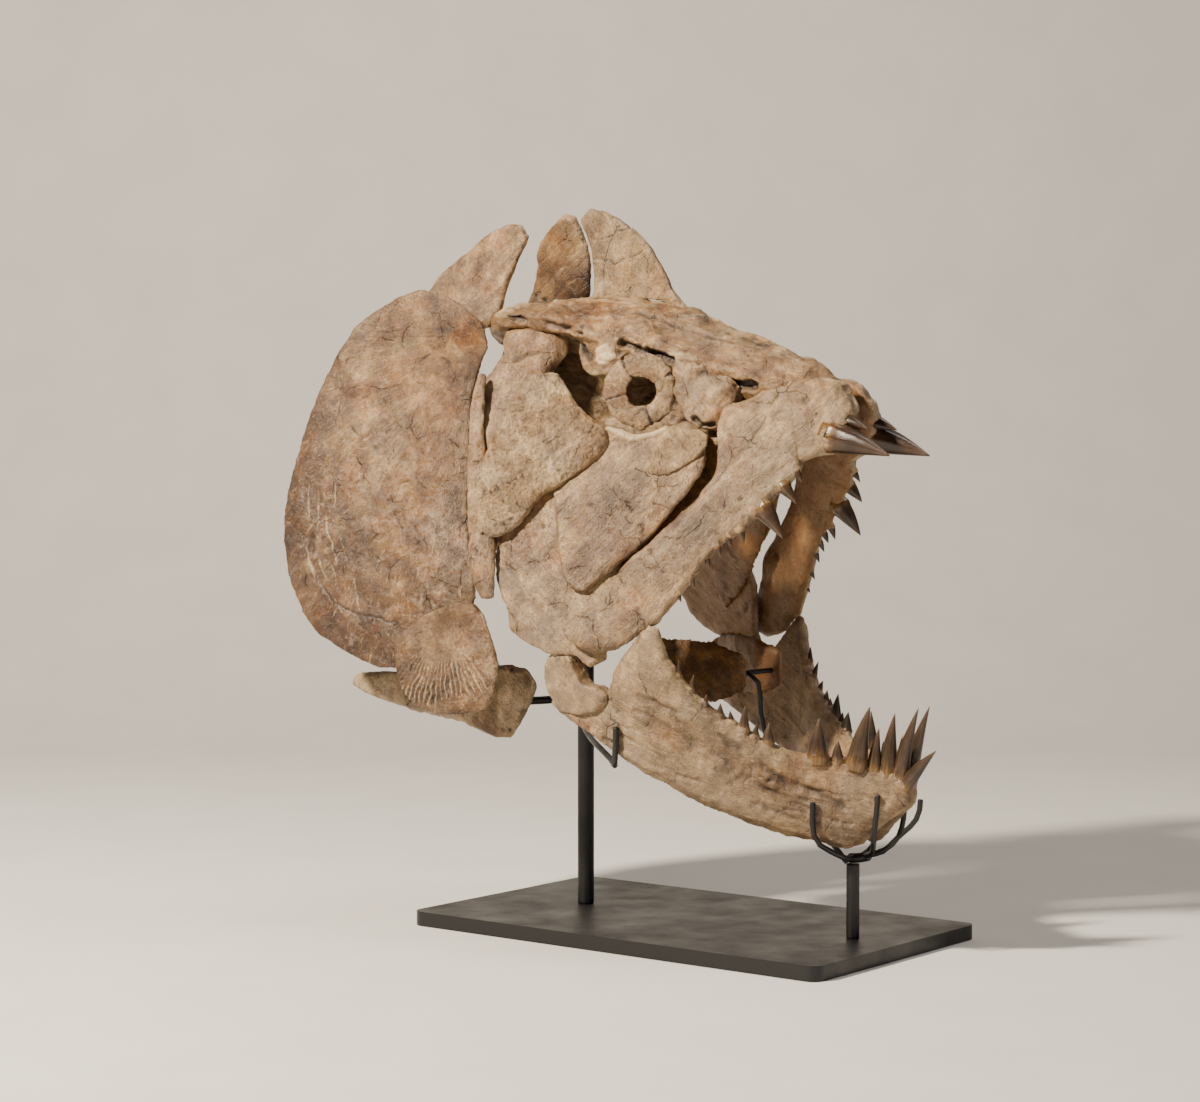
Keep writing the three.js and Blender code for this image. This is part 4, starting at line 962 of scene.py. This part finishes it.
def toothPlan():
    # base, tip and radius of each tooth of the right side, y outwards, by the bone that carries it
    plan = {"maxilla": [], "dentary_right": [], "dentary_left": [], "premaxilla": list(fangs)}
    for x, z, leanX, leanZ, radius in upperTeeth:
        y = cheekHalf(x, z) + 1
        plan["maxilla"].append(((x, y, z), (x + leanX, y + 1, z + leanZ), radius))
    for x, z, leanX, leanZ, radius in lowerTeeth:
        slope = jawPlan(x + 0.5, -200) - jawPlan(x - 0.5, -200)
        size = math.hypot(slope, 1)
        inset = min(8.0, jawPlan(x, z) - radius - 1.5)
        base = (x + slope / size * inset, jawPlan(x, z) - inset / size, z)
        tooth = (base, (base[0] + leanX, base[1] + 1, base[2] + leanZ), radius)
        plan["dentary_right"].append(tooth)
        if x not in lostOnTheLeft:
            plan["dentary_left"].append(tooth)
    return plan


def teethFor(boneName):
    return teethOf.get(boneName) or teethOf.get(boneName.rsplit("_", 1)[0], [])


teethOf = toothPlan()
skin = 0.15  # how far the dressed bones stay inside the solids' box, in mm
boxLow = np.array(cadBox[0]) * 1000 - headOrigin + skin
boxHigh = np.array(cadBox[1]) * 1000 - headOrigin - skin


def workedMesh(name, modifiers):
    # the solid's mesh after some modifiers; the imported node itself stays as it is
    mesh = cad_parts[name].data.copy()
    ob = bpy.data.objects.new("work_" + name, mesh)
    scene.collection.objects.link(ob)
    for kind, settings in modifiers:
        modifier = ob.modifiers.new(kind.lower(), kind)
        for key, value in settings.items():
            setattr(modifier, key, value)
    bpy.context.view_layer.update()
    result = bpy.data.meshes.new_from_object(ob.evaluated_get(bpy.context.evaluated_depsgraph_get()))
    bpy.data.objects.remove(ob)
    bpy.data.meshes.remove(mesh)
    return result


def remeshed(name, voxel, softening):
    return workedMesh(name, [("REMESH", {"mode": "VOXEL", "voxel_size": voxel * coarser * mm}),
                             ("SMOOTH", {"factor": 0.5, "iterations": softening})])


def readVectors(items, key):
    flat = np.empty(len(items) * 3, np.float32)
    items.foreach_get(key, flat)
    return flat.reshape(-1, 3)


def headPoints(mesh):
    return readVectors(mesh.vertices, "co") * 1000 - headOrigin


def movePoints(mesh, points):
    mesh.vertices.foreach_set("co", ((points + headOrigin) * mm).astype(np.float32).ravel())
    mesh.update()


def setAttribute(mesh, name, values):
    # a number or a vector for each point, which the materials read by its name
    kind, field = ("FLOAT_VECTOR", "vector") if np.ndim(values) == 2 else ("FLOAT", "value")
    attribute = mesh.attributes.new(name, kind, "POINT")
    attribute.data.foreach_set(field, np.ascontiguousarray(values, np.float32).ravel())


def addPiece(name, mesh, material, node=None):
    mesh.polygons.foreach_set("use_smooth", np.ones(len(mesh.polygons), bool))
    mesh.materials.clear()
    mesh.materials.append(material)
    mesh.update()
    ob = bpy.data.objects.new(name, mesh)
    scene.collection.objects.link(ob)
    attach(ob, "root")
    if node:
        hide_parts(node)
    return len(mesh.polygons)


def foldTeethIn(points, side, teeth):
    # what is left of the solid's own plain teeth is pressed back into the jaw under the new ones
    for base, tip, radius in teeth:
        foot = np.array([base[0], base[1] * side, base[2]])
        axis = np.array([tip[0], tip[1] * side, tip[2]]) - foot
        length = np.linalg.norm(axis)
        axis = axis / length
        rise = (points - foot) @ axis
        off = np.linalg.norm(points - foot - rise[:, None] * axis, axis=1)
        hit = (rise > 0.5) & (rise < length + 4) & (off < radius * 1.15)
        points[hit] -= axis * (rise[hit] - 0.5)[:, None]


def buildBone(name, plan, material):
    voxel, softening, swell, relief, slotName = plan
    side = -1 if name.endswith("_right") else 1
    mesh = remeshed(name, voxel * (farVoxels if name.endswith("_left") else 1.0), softening)
    points = headPoints(mesh)
    teeth = teethFor(name)
    foldTeethIn(points, side, teeth)
    movePoints(mesh, points)
    if name in ("neurocranium", "supraoccipital_crest"):
        side = np.where(points[:, 1] < 0, -1.0, 1.0).astype(np.float32)
    s = Surface(points, readVectors(mesh.vertex_normals, "vector"), side)
    relief(s)
    # each tooth stands in a raised, more golden socket
    for base, tip, radius in teeth:
        off = np.hypot(np.hypot(s.x - base[0], s.y - base[1]), s.z - base[2])
        socket = 1 - ease(off, radius * 0.9, radius * 1.9)
        s.raiseBy(0.3 * radius * socket)
        s.zone += 0.4 * socket
    movePoints(mesh, np.clip(points + s.shift + s.n * (s.depth + swell)[:, None], boxLow, boxHigh))
    for key, values in (("relief", s.relief), ("zone", s.zone), ("pale", s.pale)):
        setAttribute(mesh, key, np.clip(values, -1, 1))
    # faces turned inwards get a painted amber glow with shade
    setAttribute(mesh, "inner", s.paintedInnerGlow * ease(-s.n[:, 1] * side, 0.1, 0.7))
    setAttribute(mesh, "fibre", s.fibre)
    return addPiece("bone_" + name, mesh, material, name)


# a tooth as a share of its radius or length: how deep it stands, how wide a large or a small one is,
# how it narrows, the collar at its foot, how far it bows, and how flat it is from side to side
toothShape = {"sunk": 0.9, "large": 1.32, "small": 1.15, "narrowing": 0.96, "taper": 1.45, "collar": 0.12,
              "bow": 0.022, "flatness": 0.82, "largeFrom": 4.0}
toothPale = {"dentary": 0.07, "maxilla": 0.05, "premaxilla": 0.0}


def toothRings(base, tip, radius, seed):
    # rings of a fluted, slightly curved cone; the first stands inside the bone
    large = radius > toothShape["largeFrom"]
    sides, levels = (24, 22) if large else (14, 14)
    base, tip = np.array(base, float), np.array(tip, float)
    axis = tip - base
    length = np.linalg.norm(axis)
    axis /= length
    side = np.cross([0, 1, 0], axis)
    side /= np.linalg.norm(side)
    other = np.cross(axis, side)
    flute = np.random.default_rng(seed).uniform(0, 6.28, 3)
    sunk = toothShape["sunk"] * radius / length
    angle = np.arange(sides) / sides * 2 * np.pi
    rings, along, grain = [], [], []
    for i in range(levels):
        t = -sunk + (1 + sunk) * i / (levels - 1)
        up = max(0.0, t)
        width = toothShape["large" if large else "small"] * radius
        width *= 1 - toothShape["narrowing"] * up ** toothShape["taper"]
        width *= 1.0 + toothShape["collar"] * math.exp(-((t - 0.02) / 0.08) ** 2)
        centre = base + axis * t * length - side * toothShape["bow"] * length * math.sin(math.pi * up)
        wave = (0.035 * np.sin(7 * angle + flute[0]) + 0.03 * np.sin(4 * angle + flute[1])) * (1 - up)
        reach = width * (1 + wave)
        across = np.outer(np.sin(angle) * reach * toothShape["flatness"], other)
        rings.append(centre + np.outer(np.cos(angle) * reach, side) + across)
        along.append(np.full(sides, up))
        run = np.full(sides, up * length / 16 + flute[2])
        grain.append(np.stack([np.cos(angle) * radius / 1.2, np.sin(angle) * radius / 1.2, run], 1))
    return np.array(rings), np.array(along), np.array(grain)


def buildTeeth(boneName, teeth, material):
    side = -1 if boneName.endswith("_right") else 1
    pale = toothPale[boneName.rsplit("_", 1)[0]]
    rng = np.random.default_rng(61)
    points, faces, alongs, grains, pales = [], [], [], [], []
    count = 0
    for index, (base, tip, radius) in enumerate(teeth):
        rings, along, grain = toothRings(base, tip, radius, 500 + index * 7 + (side > 0))
        levels, sides = rings.shape[:2]
        rings[:, :, 1] *= side
        for i in range(levels - 1):
            for k in range(sides):
                a, b = count + i * sides + k, count + i * sides + (k + 1) % sides
                quad = [a, b, b + sides, a + sides]
                faces.append(quad if side > 0 else quad[::-1])
        last = [count + (levels - 1) * sides + k for k in range(sides)]
        first = [count + k for k in range(sides)][::-1]
        faces += [last, first] if side > 0 else [last[::-1], first[::-1]]
        points.append(rings.reshape(-1, 3))
        alongs.append(along.ravel())
        grains.append(grain.reshape(-1, 3))
        pales.append(np.full(levels * sides, pale * rng.uniform(0.6, 1.3)))
        count += levels * sides
    mesh = bpy.data.meshes.new("teeth_" + boneName)
    mesh.from_pydata(((np.concatenate(points) + headOrigin) * mm).tolist(), [], faces)
    for key, values in (("along", alongs), ("grain", grains), ("pale", pales)):
        setAttribute(mesh, key, np.concatenate(values))
    return addPiece("teeth_" + boneName, mesh, material)


# how finely each round steel part is remeshed, in mm; the flat base plate only gets bevelled edges
steelPlan = {"stand_post_skull": 1.6, "stand_post_jaw": 1.2, "stand_arm_cover": 0.9,
             "stand_arm_girdle": 0.9, "stand_jaw_arm_right": 0.8, "stand_jaw_arm_left": 0.8,
             "stand_jaw_fork": 0.7, "stand_throat_rod": 0.7}


def buildSteel(name, material):
    if name not in steelPlan:
        bevel = {"width": 0.0012, "segments": 3, "angle_limit": math.radians(40)}
        mesh = workedMesh(name, [("BEVEL", bevel)])
        faces = addPiece("steel_" + name, mesh, material, name)
        mesh.set_sharp_from_angle(angle=math.radians(30))
        return faces
    voxel = steelPlan[name]
    mesh = remeshed(name, voxel, 5)
    points, normals = headPoints(mesh), readVectors(mesh.vertex_normals, "vector")
    # softening thins a rod a little, so its side grows back; a post's flat ends stay where they are
    flatEnds = ease(np.abs(normals[:, 2]), 0.9, 0.99) if "post" in name else np.zeros(len(points))
    lifted = points + normals * (0.32 * voxel * (1 - flatEnds))[:, None]
    movePoints(mesh, np.clip(lifted, boxLow, boxHigh))
    return addPiece("steel_" + name, mesh, material, name)


def buildStage():
    size, back, rise, curve = 9.0, 2.6, 4.0, 1.0
    profile = [(-6.0, 0.0), (back - curve, 0.0)]
    for k in range(1, 13):
        turn = math.radians(90 * k / 12)
        profile.append((back - curve + curve * math.sin(turn), curve - curve * math.cos(turn)))
    profile.append((back, rise))
    view = math.radians(camera["azimuth"])
    away = np.array([-math.sin(view), math.cos(view)])
    across = np.array([math.cos(view), math.sin(view)])
    points, faces = [], []
    for run, height in profile:
        for sideways in (-size, size):
            ground = away * run + across * sideways
            points.append((ground[0], ground[1], height - 0.0005))
    for i in range(len(profile) - 1):
        faces.append((2 * i, 2 * i + 1, 2 * i + 3, 2 * i + 2))
    mesh = bpy.data.meshes.new("studio_floor")
    mesh.from_pydata(points, [], faces)
    mesh.polygons.foreach_set("use_smooth", np.ones(len(mesh.polygons), bool))
    mesh.materials.append(studioPaper())
    mesh.update()
    ob = bpy.data.objects.new("studio_floor", mesh)
    scene.collection.objects.link(ob)


setCamera()
setLights()
buildStage()
print("camera, lights and floor set")

boneMaterials = {slot: fossilBone(slot, look) for slot, look in boneLooks.items()}
enamel = fossilEnamel()
steel = powderCoat()
print("materials made")

total = 0
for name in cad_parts:
    if name.startswith("stand_"):
        faces = buildSteel(name, steel)
        total += faces
        print("steel", name, faces)
        continue
    plan = bonePlan.get(name) or bonePlan[name.rsplit("_", 1)[0]]
    faces = buildBone(name, plan, boneMaterials[plan[4]])
    total += faces
    print("bone", name, faces)
for boneName in ("maxilla", "premaxilla", "dentary"):
    for sideName in ("right", "left"):
        owner = f"{boneName}_{sideName}"
        total += buildTeeth(owner, teethFor(owner), enamel)
print("teeth set, quads in all", total)
